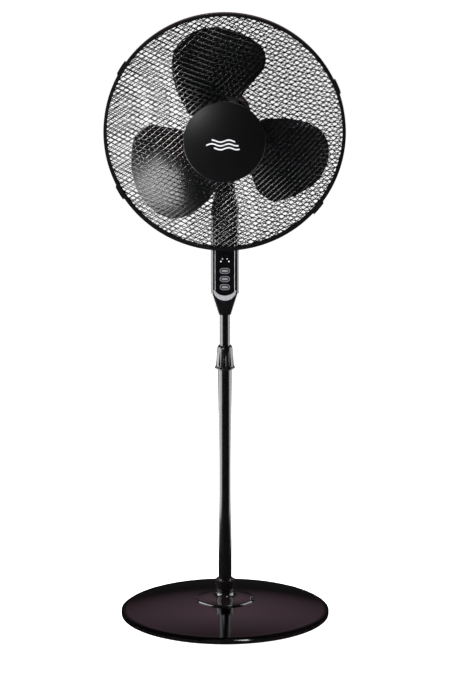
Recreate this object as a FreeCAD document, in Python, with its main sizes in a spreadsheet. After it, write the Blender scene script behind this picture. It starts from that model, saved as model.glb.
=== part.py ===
"""A pedestal fan: weighted round base, telescopic pole, control column, swinging head.

Millimetres. +Z is up, the fan blows towards -Y, and the origin is on the floor below the pole.
Every driving size is a cell of the Sizes sheet; the sub-parts are bound to those cells.
"""
import FreeCAD, Part
import math
import os
import re

import Sketcher
from FreeCAD import Placement, Rotation, Vector

doc = FreeCAD.newDocument("PedestalFan")
sheet = doc.addObject("Spreadsheet::Sheet", "Sizes")
nodes = []  # (object, node name), in the order in which the pieces are put together
next_row = 1
contents = {}  # of each size's cell

# ---------------------------------------------------------------- driving sizes


def sizes(title, **cells):
    """Writes one block of the sheet: its title, then a row for each size, with the size's alias.

    A size that follows from others is a formula. It is filled in last, when every alias is known.
    """
    global next_row
    sheet.set(f"A{next_row}", title)
    for row, (alias, content) in enumerate(cells.items(), start=next_row + 1):
        sheet.set(f"A{row}", alias)
        sheet.setAlias(f"B{row}", alias)
        contents[f"B{row}"] = str(content)
    next_row += len(cells) + 2


sizes(
    "Clearances",
    Slip=0.1,  # radial, between a tube and the bush that it slides or turns in
    Running=0.05,  # radial, between a shaft and its bore
    Shadow=0.3,  # around a button, and between covers that move past each other
)
sizes(
    "Base",
    BaseRadius=195,
    CoverLift=1.5,  # the cover's lower edge above the floor
    CoverSide=6,  # height of the upright rim
    BevelWidth=13,
    BevelRise=5,
    CoverTop=29,
    DomeArc=900,
    CoverWall=2.5,
    LedgeWidth=7,
    FootRadius=9,
    FootHeight=3,
    FootCircle="=BaseRadius - 23",
    FootCount=6,
    PlateGauge=2,
    DishRadius=26,
    DishRise=6,
    WeightInner=34,
    WeightOuter="=BaseRadius - 45",
    WeightHeight=7.5,
    SocketFlange=55,
    FlangeHeight=3.5,
    FlangeRise=4,
    SpigotRadius="=SocketRadius + 0.5",
    SocketRadius="=OuterTube + 6",
    SocketWaist="=OuterTube + 3",
    SocketMouth="=SocketSeat + 30",  # heights above the floor
    SocketLip="=SocketSeat + 14",
    SocketSeat="=CoverTop + 9",
    BoltRadius=4,
    BoltHeadSize=6.5,
    BoltHeadHeight=4.8,
    BoltLength="=SocketSeat - FootHeight - DishRise + 25",
    BossScrewCircle="=SocketFlange - 5",
    BossScrewAngle=-8,
)
sizes(
    "Pole",
    OuterTube=12.5,
    OuterWall=1.2,
    OuterTubeLength=442,
    OuterTubeTop="=SocketSeat + OuterTubeLength",
    PlugLength=28,
    TubeShown=102,  # of the inner tube, between the outer one and the column
    InnerTube="=OuterTube - OuterWall - 1.8",
    InnerWall=1,
    InnerTubeFoot="=OuterTubeTop - 300",
    InnerTubeTop="=ColumnFoot + 56",
    GuideCollar=12,
    GuideSpigot=20,
    BushDepth=50,  # of the bush in the outer tube
    BushFlange=2,
    BushThread="=OuterTube - 0.7",
    ThreadLength=18,
    ColletLength=16,
    ColletWall=1.2,
    ColletSlit=1,
    CollarFoot="=OuterTubeTop - 3",
    CollarHeight=44,
    CollarTopRadius="=InnerTube + 4.4",
    CollarSkirt="=OuterTube + 5.9",
    CollarWaist="=OuterTube + 4.1",
    CollarFlutes=10,
    FluteRadius=3,
    FluteDepth=1.1,
)
sizes(
    "Column",
    ColumnFoot="=OuterTubeTop + TubeShown",
    FootWidth="=2 * InnerTube + 10",
    FootDepth="=2 * InnerTube + 11",
    TaperTop="=ColumnFoot + 44",
    ColumnWidth=51.5,
    ColumnDepth="=2 * InnerTube + 35",
    Shoulder="=ColumnFoot + 193",
    NeckStart="=ColumnFoot + 221",
    NeckWidth="=ColumnWidth - 12",
    NeckDepth="=ColumnDepth - 12",
    ColumnTop="=ColumnFoot + 268",
    TopWidth=35,
    TopDepth=34,
    FrontCorner=7,
    RearCorner=14,
    EndCorner=12,
    ColumnWall=3,
    SplitLine=5,  # of the two shells, behind the pole's axis
    PanelWidth="=ColumnWidth - 14.5",
    PanelArch="=ColumnFoot + 158",
    PanelSpring="=ColumnFoot + 146",
    PanelSideFoot="=ColumnFoot + 50",
    PanelFoot="=ColumnFoot + 40",
    PanelThick=1.6,
    PanelGap=0.1,
    LipFoot="=ColumnFoot + 30",
    LipWidth="=PanelWidth + 5",
    LipProud=0.8,
    ButtonWidth=19,
    ButtonHeight=11.4,
    ButtonPitch=15.4,
    TopButton="=ColumnFoot + 87.3",
    ButtonProud=0.8,
    ButtonFlange=1.5,
    ButtonFlangeThick=1.2,
    ButtonStem=1.9,
    PressRoom=1,
    SwitchBody=3,
    SwitchPlunger=1.4,
    LedRadius=1.2,
    LedInner=4.3,
    LedOuter=7.3,
    LedInnerHeight="=ColumnFoot + 110",
    LedOuterHeight="=ColumnFoot + 105",
    WindowRadius=4,
    WindowHeight="=ColumnFoot + 144",
    BoardWidth="=ColumnWidth - 21.5",
    BoardFoot="=ColumnFoot + 50",
    BoardHeight=105,
    BoardThick=1.6,
    BoardPostSpan="=BoardWidth - 3.4",
    BoardPostLow="=ColumnFoot + 68",
    BoardPostHigh="=ColumnFoot + 149",
    BoardPostRadius=2,
    ShellScrewSpan="=ColumnWidth - 14.5",
    ShellScrewLow="=ColumnFoot + 60",
    ShellScrewHigh="=ColumnFoot + 180",
    ShellBoss=3.2,
    ScrewRadius=1.5,
    ScrewHead=2.9,
    SocketLength=52,
    SpineSocket="=InnerTube + 4",
    SpineFoot="=ColumnFoot + 16",
    SpineWidth=22,
    SpineDepth=18,
    SpineWall=2.5,
    SpineTop="=ColumnFoot + 224",
    ClampHeight="=ColumnFoot + 30",
    GlandHeight="=ColumnFoot + 68",
    GlandBore=3.2,
)
sizes(
    "Tilt joint and swing joint",
    TiltHeight="=ColumnTop - 15",
    TongueHalf=10,
    TongueRadius=10,
    TongueDepth=14,
    EarRoom=0.939362,  # between the fork's ears and the column's walls, 5 below its top
    EarThick="=(TopWidth + (NeckWidth - TopWidth) * 5 / (ColumnTop - NeckStart)) / 2 - ColumnWall - TongueHalf - Shadow - EarRoom",
    TiltBolt=4,
    TiltHead=5.5,
    TiltNut=6,
    NeckRadius=17.5,
    NeckFoot="=ColumnTop + 6.5",
    LeverFoot="=ColumnTop + 18",
    LeverThick=4,
    LeverHalf=8,
    LeverReach="=CrankOffset + CrankThrow + 0.5",
    NeckBoss=9,
    BossTop="=ColumnTop + 40",
    PivotRadius=6,
    PivotFoot="=NeckFoot + 2",
    GrooveHeight="=NeckFoot + 7.5",
    GrooveHalf=2,
    GrooveDepth=1.2,
    PivotScrew=1.7,
    BracketThick=3,
    BracketHalf="=ChamberHalf - 6.5",
    BracketFront="=CoverFront + 5",
    BracketRear="=ChamberRear - 3",
    SaddleHalf=16,
    CrankOffset=16,
    CrankThrow=12,
    CrankPin=2.5,
    CrankShaft=3,
    CrankThick=3.4,
    SlotRoom=0.8,
    SwingMotorRadius=17.5,
    SwingMotorHeight=12,
)
sizes(
    "Motor",
    HeadHeight="=BossTop + BracketThick + ShieldRadius + 11.5",
    StatorFront=6,
    StatorLength=30,
    StatorRadius=40,
    StatorBore=25,
    SlotCount=12,
    SlotWidth=5,
    AirGap=0.5,
    WindingRing="=StatorBore + 5.3",
    WindingRadius=3.8,
    ShieldRadius="=StatorRadius + 1.5",
    ShieldDepth=18,
    ShieldWall=2.5,
    BearingBoss="=BushRadius + 4",
    FrontBossLength=8,
    RearBossLength=2,
    BushRadius="=ShaftRadius + 4",
    BushLength=12,
    ShaftRadius=4,
    ShaftFront="=HubFront - 8",
    ShaftRear="=BarrelEnd + 1",
    ThroughBolt=1.8,
    ThroughCircle="=ShieldRadius - 4.5",
    CoverRadius="=ShieldRadius + 6.5",
    HeadCoverWall=2.5,
    CoverFront="=StatorFront - ShieldDepth - FrontBossLength - CoverPlate",
    CoverPlate=3,
    BarrelEnd="=StatorFront + StatorLength + ShieldDepth + RearBossLength",
    DomeShoulder=14,
    DomeTurn=60,  # how far round the dome's shoulder arc goes
    ChamberHalf=33.5,
    ChamberFoot="=ColumnTop + 12",
    ChamberRear=52,
    ChamberCorner=8,
    NoseRadius=24,
    NoseBore="=NoseRadius - 8",
    VentCount=16,
    VentWidth=3,
    NoseLength=15,
)
sizes(
    "Guard",
    MeshSeat=0.662,  # of the rear mesh in front of the hub plate
    RimPlane="=CoverFront - HubPlateThick - MeshSeat - RearRise - RingOffset",
    RingRadius="=BandRadius - BandWall - RingWire - 0.15",
    RingWire=2.25,
    RingOffset=2.6,  # of each ring from the rim plane
    MeshRadius="=RingRadius - RingWire - 0.15",
    MeshWire=0.9,
    FrontDepth=86,
    RearDepth=76,
    RearSphere="=(MeshRadius ^ 2 + RearDepth ^ 2) / (2 * RearDepth)",
    RearRise="=sqrt(RearSphere ^ 2 - (HubPlateRadius + Shadow) ^ 2) - RearSphere + RearDepth",
    FrontPitch=8.2,
    RearPitch=7.6,
    WireStep=3,  # the model holds every third wire of the mesh
    WireGap=0.05,
    FrontLean=13,
    RearLean=-4,
    MeshAngle=30,
    HubPlateRadius=50,
    HubPlateThick=1.5,
    GuardNutRadius="=NoseRadius + 12",
    GuardNutThick=11.5,
    GuardNutLobes=6,
    BandRadius=220,
    BandWall=1.6,
    BandHalf="=RingOffset + RingWire + 1.65",
    BandLip="=RingRadius - RingWire + 0.25",
    LipThick=1.4,
    BandJoint=98.5,
    JointGap=0.6,
    ClipThick=2.5,
    ClipHalf="=BandHalf + 1.5",
    ClipLip="=BandLip + 0.5",
    ClipLength=26,
    RivetAngle=96,
    RivetRadius=1.2,
    RivetHead=2.5,
    RivetHeight=0.8,
    BadgeRadius=74,
    BadgeBack="=3 * MeshWire + 0.35",  # in front of the mesh's first layer
    BadgeThick=2.95,
    BadgeFace="=BadgeBack + BadgeThick",
    BadgeBoss=3,
    BadgeScrew=1.8,
    BadgeScrewHead="=BadgeScrew + 12.2",
    BadgeScrewFoot="=FrontDepth - 3.2",  # in front of the ring
    BadgeBossFoot="=FrontDepth - 0.5",
)
sizes(
    "Blades",
    BladeCount=3,
    TopBladeAngle=97,
    BladeTip="=MeshRadius - 18.6",
    BladePlane="=RimPlane - 3",
    BladeLead=54,  # axial travel for each radian
    BladeCamber=6,
    BladeThick=2.4,
    HubRadius=50,
    HubFront="=RimPlane - 40",
    HubRear="=RimPlane + 28",
    HubWall=2.5,
    HubRound=9,
    HubBoss="=ShaftRadius + 7",
    DrivePinAt="=HubRear - 6",
    DrivePinRadius=1.5,
    DrivePinLength="=2 * HubBoss - 2",
    SpinnerRadius="=HubRadius - 32",
    SpinnerLength=16,
)
for cell, content in contents.items():
    sheet.set(cell, content)
doc.recompute()

# ---------------------------------------------------------------- helpers

TURN_TO = {
    "Z": Rotation(),
    "X": Rotation(Vector(0, 1, 0), 90),
    "Y": Rotation(Vector(1, 0, 0), -90),
    "-Y": Rotation(Vector(1, 0, 0), 90),
}


def val(expression):
    """What an expression over the sheet comes to now."""
    return float(sheet.evalExpression(str(expression)))


def bind(item, path, expression):
    """Binds one property of an object to the sheet. Every capitalised word is an alias."""
    item.setExpression(path, re.sub(r"\b[A-Z]\w*", r"Sizes.\g<0>", str(expression)))


def place(item, at, axis="Z"):
    """Turns an object's own Z to an axis and binds its place."""
    item.Placement = Placement(Vector(), TURN_TO[axis])
    for letter, expression in zip("xyz", at):
        bind(item, f"Placement.Base.{letter}", expression)
    return item


def node(item, name):
    """Names a finished sub-part."""
    item.Label = name
    nodes.append((item, name))
    return item


def rod(radius, length, at=(0, 0, 0), axis="Z"):
    item = doc.addObject("Part::Cylinder", "Rod")
    bind(item, "Radius", radius)
    bind(item, "Height", length)
    return place(item, at, axis)


def block(length, width, height, at):
    item = doc.addObject("Part::Box", "Block")
    for side, expression in zip(("Length", "Width", "Height"), (length, width, height)):
        bind(item, side, expression)
    return place(item, at)


def joined(*items):
    item = doc.addObject("Part::MultiFuse", "Joined")
    item.Shapes = list(items)
    item.Refine = True
    return item


def cut(base, *tools):
    item = doc.addObject("Part::Cut", "Cut")
    item.Base = base
    item.Tool = joined(*tools) if len(tools) > 1 else tools[0]
    return item


def group(*items):
    """Separate solids that share one node."""
    item = doc.addObject("Part::Compound", "Group")
    item.Links = list(items)
    return item


def pipe(outer, bore, length, at=(0, 0, 0), axis="Z"):
    return cut(rod(outer, length, at, axis), rod(bore, length, at, axis))


def shaped(shape, at=(0, 0, 0)):
    """A sub-part whose shape is computed, with its place given after it."""
    item = doc.addObject("Part::Feature", "Shaped")
    item.Shape = shape
    item.Placement = Placement(Vector(*map(val, at)), Rotation()) * shape.Placement
    return item


def arc_between(start, end, radius):
    """The arc from start to end. A positive radius bulges to the right of the way."""
    chord = end - start
    sagitta = abs(radius) - math.sqrt(radius**2 - (chord.Length / 2) ** 2)
    side = Vector(chord.y, -chord.x, 0).normalize() * math.copysign(sagitta, radius)
    return Part.Arc(start, (start + end) / 2 + side, end)


def turned(outline, at=(0, 0, 0), axis="Z"):
    """A body turned about its own Z from a half section.

    Each corner is (radius, height), or (radius, height, arc radius) where an arc leads to it.
    Every corner and every arc of the sketch is bound to the sheet.
    """
    body = doc.addObject("PartDesign::Body", "Turned")
    sketch = body.newObject("Sketcher::SketchObject", "HalfSection")
    plane = next(p for p in body.Origin.OriginFeatures if p.Role == "XZ_Plane")
    sketch.AttachmentSupport = [(plane, "")]
    sketch.MapMode = "FlatFace"
    corners = [Vector(val(c[0]), val(c[1]), 0) for c in outline]
    tails = []  # which end of each edge is its start: an arc always runs counter-clockwise
    for k, corner in enumerate(corners):
        start, arc = corners[k - 1], outline[k][2:]
        if arc and val(arc[0]) > 0:
            sketch.addGeometry(arc_between(start, corner, val(arc[0])), False)
            tails.append(1)
        elif arc:
            sketch.addGeometry(arc_between(corner, start, -val(arc[0])), False)
            tails.append(2)
        else:
            sketch.addGeometry(Part.LineSegment(start, corner), False)
            tails.append(1)
    for k, corner in enumerate(outline):
        following = (k + 1) % len(outline)
        sketch.addConstraint(
            Sketcher.Constraint("Coincident", k, 3 - tails[k], following, tails[following])
        )
        for kind, line, expression in (("DistanceX", -2, corner[0]), ("DistanceY", -1, corner[1])):
            if val(expression) == 0:
                sketch.addConstraint(Sketcher.Constraint("PointOnObject", k, 3 - tails[k], line))
                continue
            number = sketch.addConstraint(
                Sketcher.Constraint(kind, -1, 1, k, 3 - tails[k], val(expression))
            )
            bind(sketch, f"Constraints[{number}]", expression)
        if corner[2:]:
            number = sketch.addConstraint(Sketcher.Constraint("Radius", k, abs(val(corner[2]))))
            bind(sketch, f"Constraints[{number}]", f"abs({corner[2]})")
    turn = body.newObject("PartDesign::Revolution", "Turn")
    turn.Profile = sketch
    turn.ReferenceAxis = (sketch, ["V_Axis"])
    turn.Angle = 360
    body.Tip = turn
    return place(body, at, axis)


# ---------------------------------------------------------------- base


def base_cover():
    """The glossy dished cover, with a ledge inside its rim that rests on the base plate."""
    side_top, bevel_top = "CoverLift + CoverSide", "CoverLift + CoverSide + BevelRise"
    plate_top = "FootHeight + PlateGauge"
    ledge = "BaseRadius - CoverWall - LedgeWidth"
    return turned([
        ("BaseRadius", "CoverLift"),
        ("BaseRadius", side_top),
        ("BaseRadius - BevelWidth", bevel_top, "2 * BevelWidth"),
        ("SocketFlange + CoverWall", "CoverTop", "DomeArc"),
        ("SpigotRadius + Shadow", "CoverTop"),
        ("SpigotRadius + Shadow", "CoverTop - CoverWall"),
        ("SocketFlange + CoverWall", "CoverTop - CoverWall"),
        (ledge, f"{bevel_top} - CoverWall", "-DomeArc"),
        (ledge, plate_top),
        ("BaseRadius - CoverWall", plate_top),
        ("BaseRadius - CoverWall", "CoverLift"),
    ])


def base_plate():
    """The pressed steel plate, dished up in the middle to take the pole bolt's head."""
    hole = "BoltRadius + Running"
    return turned([
        (hole, "FootHeight + DishRise"),
        ("DishRadius - PlateGauge", "FootHeight + DishRise"),
        ("DishRadius + DishRise - PlateGauge", "FootHeight"),
        ("BaseRadius - CoverWall - Shadow", "FootHeight"),
        ("BaseRadius - CoverWall - Shadow", "FootHeight + PlateGauge"),
        ("DishRadius + DishRise", "FootHeight + PlateGauge"),
        ("DishRadius", "FootHeight + DishRise + PlateGauge"),
        (hole, "FootHeight + DishRise + PlateGauge"),
    ])


def pole_socket():
    """The pole's foot: a wide low flange on the cover, a waisted cup, and a spigot to the plate."""
    foot = "FootHeight + DishRise + PlateGauge"
    flange_top = "CoverTop + FlangeHeight"
    return turned([
        ("BoltRadius + Running", foot),
        ("SpigotRadius", foot),
        ("SpigotRadius", "CoverTop"),
        ("SocketFlange", "CoverTop"),
        ("SocketFlange", "CoverTop + 1"),
        ("SocketFlange - 3", flange_top, "4"),
        ("SocketWaist + 8", f"{flange_top} + FlangeRise", "3 * SocketFlange"),
        ("SocketWaist", f"{flange_top} + FlangeRise + 6", "-12"),
        ("SocketRadius", "SocketLip"),
        ("SocketRadius", "SocketMouth"),
        ("OuterTube + Slip", "SocketMouth"),
        ("OuterTube + Slip", "SocketSeat"),
        ("BoltRadius + Running", "SocketSeat"),
    ])


def pole_bolt():
    head = doc.addObject("Part::Prism", "Head")
    head.Polygon = 6
    bind(head, "Circumradius", "BoltHeadSize")
    bind(head, "Height", "BoltHeadHeight")
    seat = "FootHeight + DishRise"
    place(head, (0, 0, f"{seat} - BoltHeadHeight"))
    return joined(head, rod("BoltRadius", "BoltLength", (0, 0, seat)))


node(base_plate(), "base_plate")
node(
    pipe("WeightOuter", "WeightInner", "WeightHeight", (0, 0, "FootHeight + PlateGauge")),
    "base_weight",
)
feet = [
    rod("FootRadius", "FootHeight",
        (f"FootCircle * cos({k} * 360 deg / FootCount)", f"FootCircle * sin({k} * 360 deg / FootCount)", 0))
    for k in range(int(val("FootCount")))
]
node(group(*feet), "rubber_feet")
node(pole_bolt(), "pole_bolt")
boss_screw_at = [f"BossScrewCircle * {turn}(BossScrewAngle * 1 deg)" for turn in ("cos", "sin")]
boss_screw_hole = rod("ScrewRadius", "BoltLength", (*boss_screw_at, "CoverTop - CoverWall - 1"))
node(cut(base_cover(), boss_screw_hole), "base_cover")
node(cut(pole_socket(), boss_screw_hole), "pole_socket")
boss_screw = joined(
    rod("ScrewRadius - Running", "FlangeHeight + 3", (*boss_screw_at, "CoverTop - CoverWall")),
    rod("ScrewHead", 1.2, (*boss_screw_at, "CoverTop + FlangeHeight + 1.2")),
)
node(boss_screw, "boss_screw")

# ---------------------------------------------------------------- telescopic pole

OUTER_BORE = "(OuterTube - OuterWall)"
INNER_BORE = "(InnerTube - InnerWall)"


def tube_bush():
    """The plastic bush in the outer tube's mouth: a sleeve, a flange, a thread and a slit collet."""
    bore, flange_top = "InnerTube + Slip", "OuterTubeTop + BushFlange"
    thread_top = f"{flange_top} + ThreadLength"
    collet = "InnerTube + Slip + ColletWall"
    sleeve = turned([
        (bore, "OuterTubeTop - BushDepth"),
        (f"{OUTER_BORE} - Running", "OuterTubeTop - BushDepth"),
        (f"{OUTER_BORE} - Running", "OuterTubeTop"),
        ("OuterTube", "OuterTubeTop"),
        ("OuterTube", flange_top),
        ("BushThread", flange_top),
        ("BushThread", thread_top),
        (collet, f"{thread_top} + 1"),
        (collet, f"{thread_top} + ColletLength"),
        (bore, f"{thread_top} + ColletLength"),
    ])
    slit_foot = f"{thread_top} - 2"
    across = block("4 * InnerTube", "ColletSlit", "ColletLength + 4", ("-2 * InnerTube", "-ColletSlit / 2", slit_foot))
    along = block("ColletSlit", "4 * InnerTube", "ColletLength + 4", ("-ColletSlit / 2", "-2 * InnerTube", slit_foot))
    return cut(sleeve, across, along)


def height_collar():
    """The twist collar: turn it to squeeze the collet on the inner tube. Fluted, with a flared skirt."""
    bush_face, top = "OuterTubeTop + BushFlange + Shadow", "CollarFoot + CollarHeight"
    thread_top = "OuterTubeTop + BushFlange + ThreadLength + Shadow"
    collet = "InnerTube + ColletWall + 3 * Slip"
    body = turned([
        ("OuterTube + 2 * Slip", "CollarFoot"),
        ("CollarSkirt", "CollarFoot"),
        ("CollarSkirt", "CollarFoot + 2.5", "4"),
        ("CollarWaist", "CollarFoot + 5"),
        ("CollarTopRadius", f"{top} - 5"),
        ("CollarTopRadius - 2.5", top, "8"),
        ("InnerTube + Shadow", top),
        ("InnerTube + Shadow", f"{top} - 2"),
        (collet, f"{top} - 4"),
        (collet, f"{thread_top} + 2"),
        ("BushThread + Slip", thread_top),
        ("BushThread + Slip", bush_face),
        ("OuterTube + 2 * Slip", bush_face),
    ])
    flutes = []
    for k in range(int(val("CollarFlutes"))):
        turn = f"({k} + 0.5) * 360 deg / CollarFlutes"
        reach = "(CollarTopRadius + CollarWaist) / 2 + FluteRadius - FluteDepth"
        at = (f"({reach}) * cos({turn})", f"({reach}) * sin({turn})", "CollarFoot + 6")
        flutes.append(rod("FluteRadius", "CollarHeight - 14", at))
    return cut(body, *flutes)


def tube_guide():
    """The plastic foot of the inner tube, which slides in the outer one."""
    bore = f"{INNER_BORE} - 3.5"
    return turned([
        (bore, 0),
        (f"{OUTER_BORE} - Slip", 0),
        (f"{OUTER_BORE} - Slip", "GuideCollar"),
        (f"{INNER_BORE} - Running", "GuideCollar"),
        (f"{INNER_BORE} - Running", "GuideCollar + GuideSpigot"),
        (bore, "GuideCollar + GuideSpigot"),
    ], (0, 0, "InnerTubeFoot - GuideCollar"))


outer_length = "OuterTubeTop - SocketSeat"
node(pipe(f"{OUTER_BORE} - Running", "BoltRadius + Running", "PlugLength", (0, 0, "SocketSeat")), "pole_plug")
node(pipe("OuterTube", OUTER_BORE, outer_length, (0, 0, "SocketSeat")), "outer_tube")
node(tube_bush(), "tube_bush")
node(height_collar(), "height_collar")
node(pipe("InnerTube", INNER_BORE, "InnerTubeTop - InnerTubeFoot", (0, 0, "InnerTubeFoot")), "inner_tube")
node(tube_guide(), "tube_guide")

# ---------------------------------------------------------------- control column


FACE = "(-ColumnDepth / 2)"  # the column's front face
WALL_BACK = f"({FACE} + ColumnWall)"
FLANGE_FRONT = f"({WALL_BACK} + Shadow)"
STEM_END = f"({FLANGE_FRONT} + ButtonFlangeThick + ButtonStem)"
PLUNGER_TIP = f"({STEM_END} + PressRoom)"
BOARD_FRONT = f"({PLUNGER_TIP} + SwitchPlunger + SwitchBody)"
REACH = 200  # how far a cutter runs past what it cuts


def rounded_section(width, depth, front, rear, height):
    """A closed rounded rectangle about the pole's axis, with its own front and rear corner radii."""
    x, y = width / 2, depth / 2
    corners = []
    for sx, sy, radius, first in ((1, -1, front, -90), (1, 1, rear, 0), (-1, 1, rear, 90), (-1, -1, front, 180)):
        centre = Vector(sx * (x - radius), sy * (y - radius), height)
        turns = [Rotation(Vector(0, 0, 1), first + swept) for swept in (0, 45, 90)]
        corners.append([centre + turn.multVec(Vector(radius, 0, 0)) for turn in turns])
    edges = []
    for corner, following in zip(corners, corners[1:] + corners[:1]):
        edges.append(Part.Arc(*corner).toShape())
        edges.append(Part.LineSegment(corner[2], following[0]).toShape())
    return Part.Wire(edges)


def column_body(grow=0.0):
    """The column as one solid, with its whole skin moved out by grow."""
    stations = [
        ("FootWidth", "FootDepth", "EndCorner", "EndCorner", "ColumnFoot"),
        ("ColumnWidth", "ColumnDepth", "FrontCorner", "RearCorner", "TaperTop"),
        ("ColumnWidth", "ColumnDepth", "FrontCorner", "RearCorner", "Shoulder"),
        ("NeckWidth", "NeckDepth", "FrontCorner", "RearCorner", "NeckStart"),
        ("TopWidth", "TopDepth", "EndCorner", "EndCorner", "ColumnTop"),
    ]
    sections = []
    for width, depth, front, rear, height in stations:
        sections.append(rounded_section(
            val(width) + 2 * grow, val(depth) + 2 * grow, val(front) + grow, val(rear) + grow, val(height)))
    return Part.makeLoft(sections, True, True)


def drawn(*points):
    """A closed outline in the XZ plane. A point with a second point beside it is reached by an arc."""
    ends = [Vector(p[0], 0, p[1]) for p in points]
    edges = []
    for k, point in enumerate(points):
        if point[2:]:
            edges.append(Part.Arc(ends[k - 1], Vector(point[2], 0, point[3]), ends[k]).toShape())
        else:
            edges.append(Part.LineSegment(ends[k - 1], ends[k]).toShape())
    return Part.Wire(edges)


def prism(outline, start, end):
    """The solid of an outline in the XZ plane, from one y to another."""
    face = Part.Face(outline)
    face.translate(Vector(0, start, 0))
    return face.extrude(Vector(0, end - start, 0))


def panel_prism(grow):
    """The fascia's outline, with a flat arch on top and a bowed foot, cut right through the face."""
    half = val("PanelWidth") / 2 + grow
    outline = drawn(
        (half, val("PanelSideFoot"), 0, val("PanelFoot") - grow),
        (half, val("PanelSpring")),
        (-half, val("PanelSpring"), 0, val("PanelArch") + grow),
        (-half, val("PanelSideFoot")),
    )
    return prism(outline, -REACH, 0)


def lip_prism(grow):
    """The crescent below the fascia."""
    half, lip = val("PanelWidth") / 2 - grow, val("LipWidth") / 2 + grow
    top = val("PanelSideFoot")
    outline = drawn(
        (lip, top, 0, val("LipFoot") - grow),
        (half, top),
        (-half, top, 0, val("PanelFoot") + grow),
        (-lip, top),
    )
    return prism(outline, -REACH, 0)


def stadium(width, height, start, end, middle):
    """A solid with a stadium outline, from one y to another, centred at a height."""
    radius, flat = height / 2, (width - height) / 2
    outline = drawn(
        (flat, middle - radius),
        (flat, middle + radius, flat + radius, middle),
        (-flat, middle + radius),
        (-flat, middle - radius, -flat - radius, middle),
    )
    return prism(outline, start, end)


def rod_y(radius, start, end, x, z):
    """A computed cylinder along y."""
    return Part.makeCylinder(radius, end - start, Vector(x, start, z), Vector(0, 1, 0))


BUTTONS = {f"{what}_button": f"(TopButton - {k} * ButtonPitch)" for k, what in enumerate(("speed", "timer", "power"))}
LEDS = [(f"({side} * {x})", z) for side in (-1, 1) for x, z in (("LedInner", "LedInnerHeight"), ("LedOuter", "LedOuterHeight"))]
SHELL_SCREWS = [(side * val("ShellScrewSpan") / 2, val(z)) for side in (-1, 1) for z in ("ShellScrewLow", "ShellScrewHigh")]
BOARD_POSTS = [(side * val("BoardPostSpan") / 2, val(z)) for side in (-1, 1) for z in ("BoardPostLow", "BoardPostHigh")]


def column_shell():
    """Both shells in one, before they are parted: walls, floor, open top, pole hole and pivot holes."""
    wall, floor = val("ColumnWall"), val("ColumnFoot + ColumnWall")
    inside = column_body(-wall).common(Part.makeBox(REACH, REACH, 2 * REACH, Vector(-REACH / 2, -REACH / 2, floor)))
    shell = column_body().cut(inside)
    pole_hole = Part.makeCylinder(val("InnerTube + Shadow"), REACH, Vector(0, 0, floor - REACH))
    head_hole = Part.makeCylinder(
        val("TiltHead + Shadow"), REACH, Vector(0, 0, val("TiltHeight")), Vector(-1, 0, 0))
    nut_hole = Part.makeCylinder(val("TiltNut + Shadow"), REACH, Vector(0, 0, val("TiltHeight")), Vector(1, 0, 0))
    return shell.cut([pole_hole, head_hole, nut_hole])


def half_space(front):
    """Everything in front of, or behind, the plane where the shells meet."""
    split = val("SplitLine")
    start = split - 2 * REACH if front else split
    return Part.makeBox(2 * REACH, 2 * REACH, 2 * REACH, Vector(-REACH, start, val("ColumnFoot") - REACH / 2))


def column_front(shell):
    """The front shell: fascia recess, button, lamp and lip cut-outs, board posts and screw bosses."""
    room = column_body(0.5 - val("ColumnWall"))  # so that a post runs into the wall by half a millimetre
    bosses = [rod_y(val("ShellBoss"), -REACH, val("SplitLine"), *at).common(room) for at in SHELL_SCREWS]
    posts = [rod_y(val("BoardPostRadius"), -REACH, val(BOARD_FRONT), *at).common(room) for at in BOARD_POSTS]
    front = shell.common(half_space(True)).fuse(bosses + posts)
    core = column_body(-val("PanelThick"))
    gap = val("Shadow")
    cuts = [panel_prism(0).cut(core), lip_prism(0).cut(core)]
    cuts += [rod_y(val("ScrewRadius"), val(WALL_BACK), REACH, *at) for at in SHELL_SCREWS]
    for height in BUTTONS.values():
        cuts.append(stadium(val("ButtonWidth") + 2 * gap, val("ButtonHeight") + 2 * gap, -REACH, 0, val(height)))
    for x, z in LEDS:
        cuts.append(rod_y(val("LedRadius + Running"), -REACH, 0, val(x), val(z)))
    return front.cut(cuts).removeSplitter()


def column_rear(shell):
    """The rear shell: screw bosses with sunk heads, and the hole for the cord's gland."""
    room = column_body(0.5 - val("ColumnWall"))
    bosses = [rod_y(val("ShellBoss"), val("SplitLine"), REACH, *at).common(room) for at in SHELL_SCREWS]
    rear = shell.common(half_space(False)).fuse(bosses)
    sunk = val("ColumnDepth") / 2 - 6
    cuts = [rod_y(val("ScrewRadius + Slip"), 0, REACH, *at) for at in SHELL_SCREWS]
    cuts += [rod_y(val("ScrewHead + Slip"), sunk, REACH, *at) for at in SHELL_SCREWS]
    cuts.append(rod_y(val("GlandBore + 2"), 0, REACH, 0, val("GlandHeight")))
    return rear.cut(cuts).removeSplitter()


def column_screws():
    """Four screws, from their sunk heads in the rear shell to the front shell's bosses."""
    sunk = val("ColumnDepth") / 2 - 6
    screws = []
    for at in SHELL_SCREWS:
        shank = rod_y(val("ScrewRadius - Running"), -6, sunk, *at)
        screws.append(shank.fuse(rod_y(val("ScrewHead"), sunk, sunk + 2, *at)))
    return Part.makeCompound(screws)


def control_panel():
    """The glossy fascia, which follows the column's face and lies flush in its recess."""
    skin = column_body().cut(column_body(-val("PanelThick")))
    panel = panel_prism(-val("PanelGap")).common(skin)
    gap = val("Shadow")
    cuts = [stadium(val("ButtonWidth") + 2 * gap, val("ButtonHeight") + 2 * gap, -REACH, 0, val(z))
            for z in BUTTONS.values()]
    cuts += [rod_y(val("LedRadius + Running"), -REACH, 0, val(x), val(z)) for x, z in LEDS]
    cuts.append(rod_y(val("WindowRadius + Slip"), -REACH, 0, 0, val("WindowHeight")))
    return panel.cut(cuts)


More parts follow.
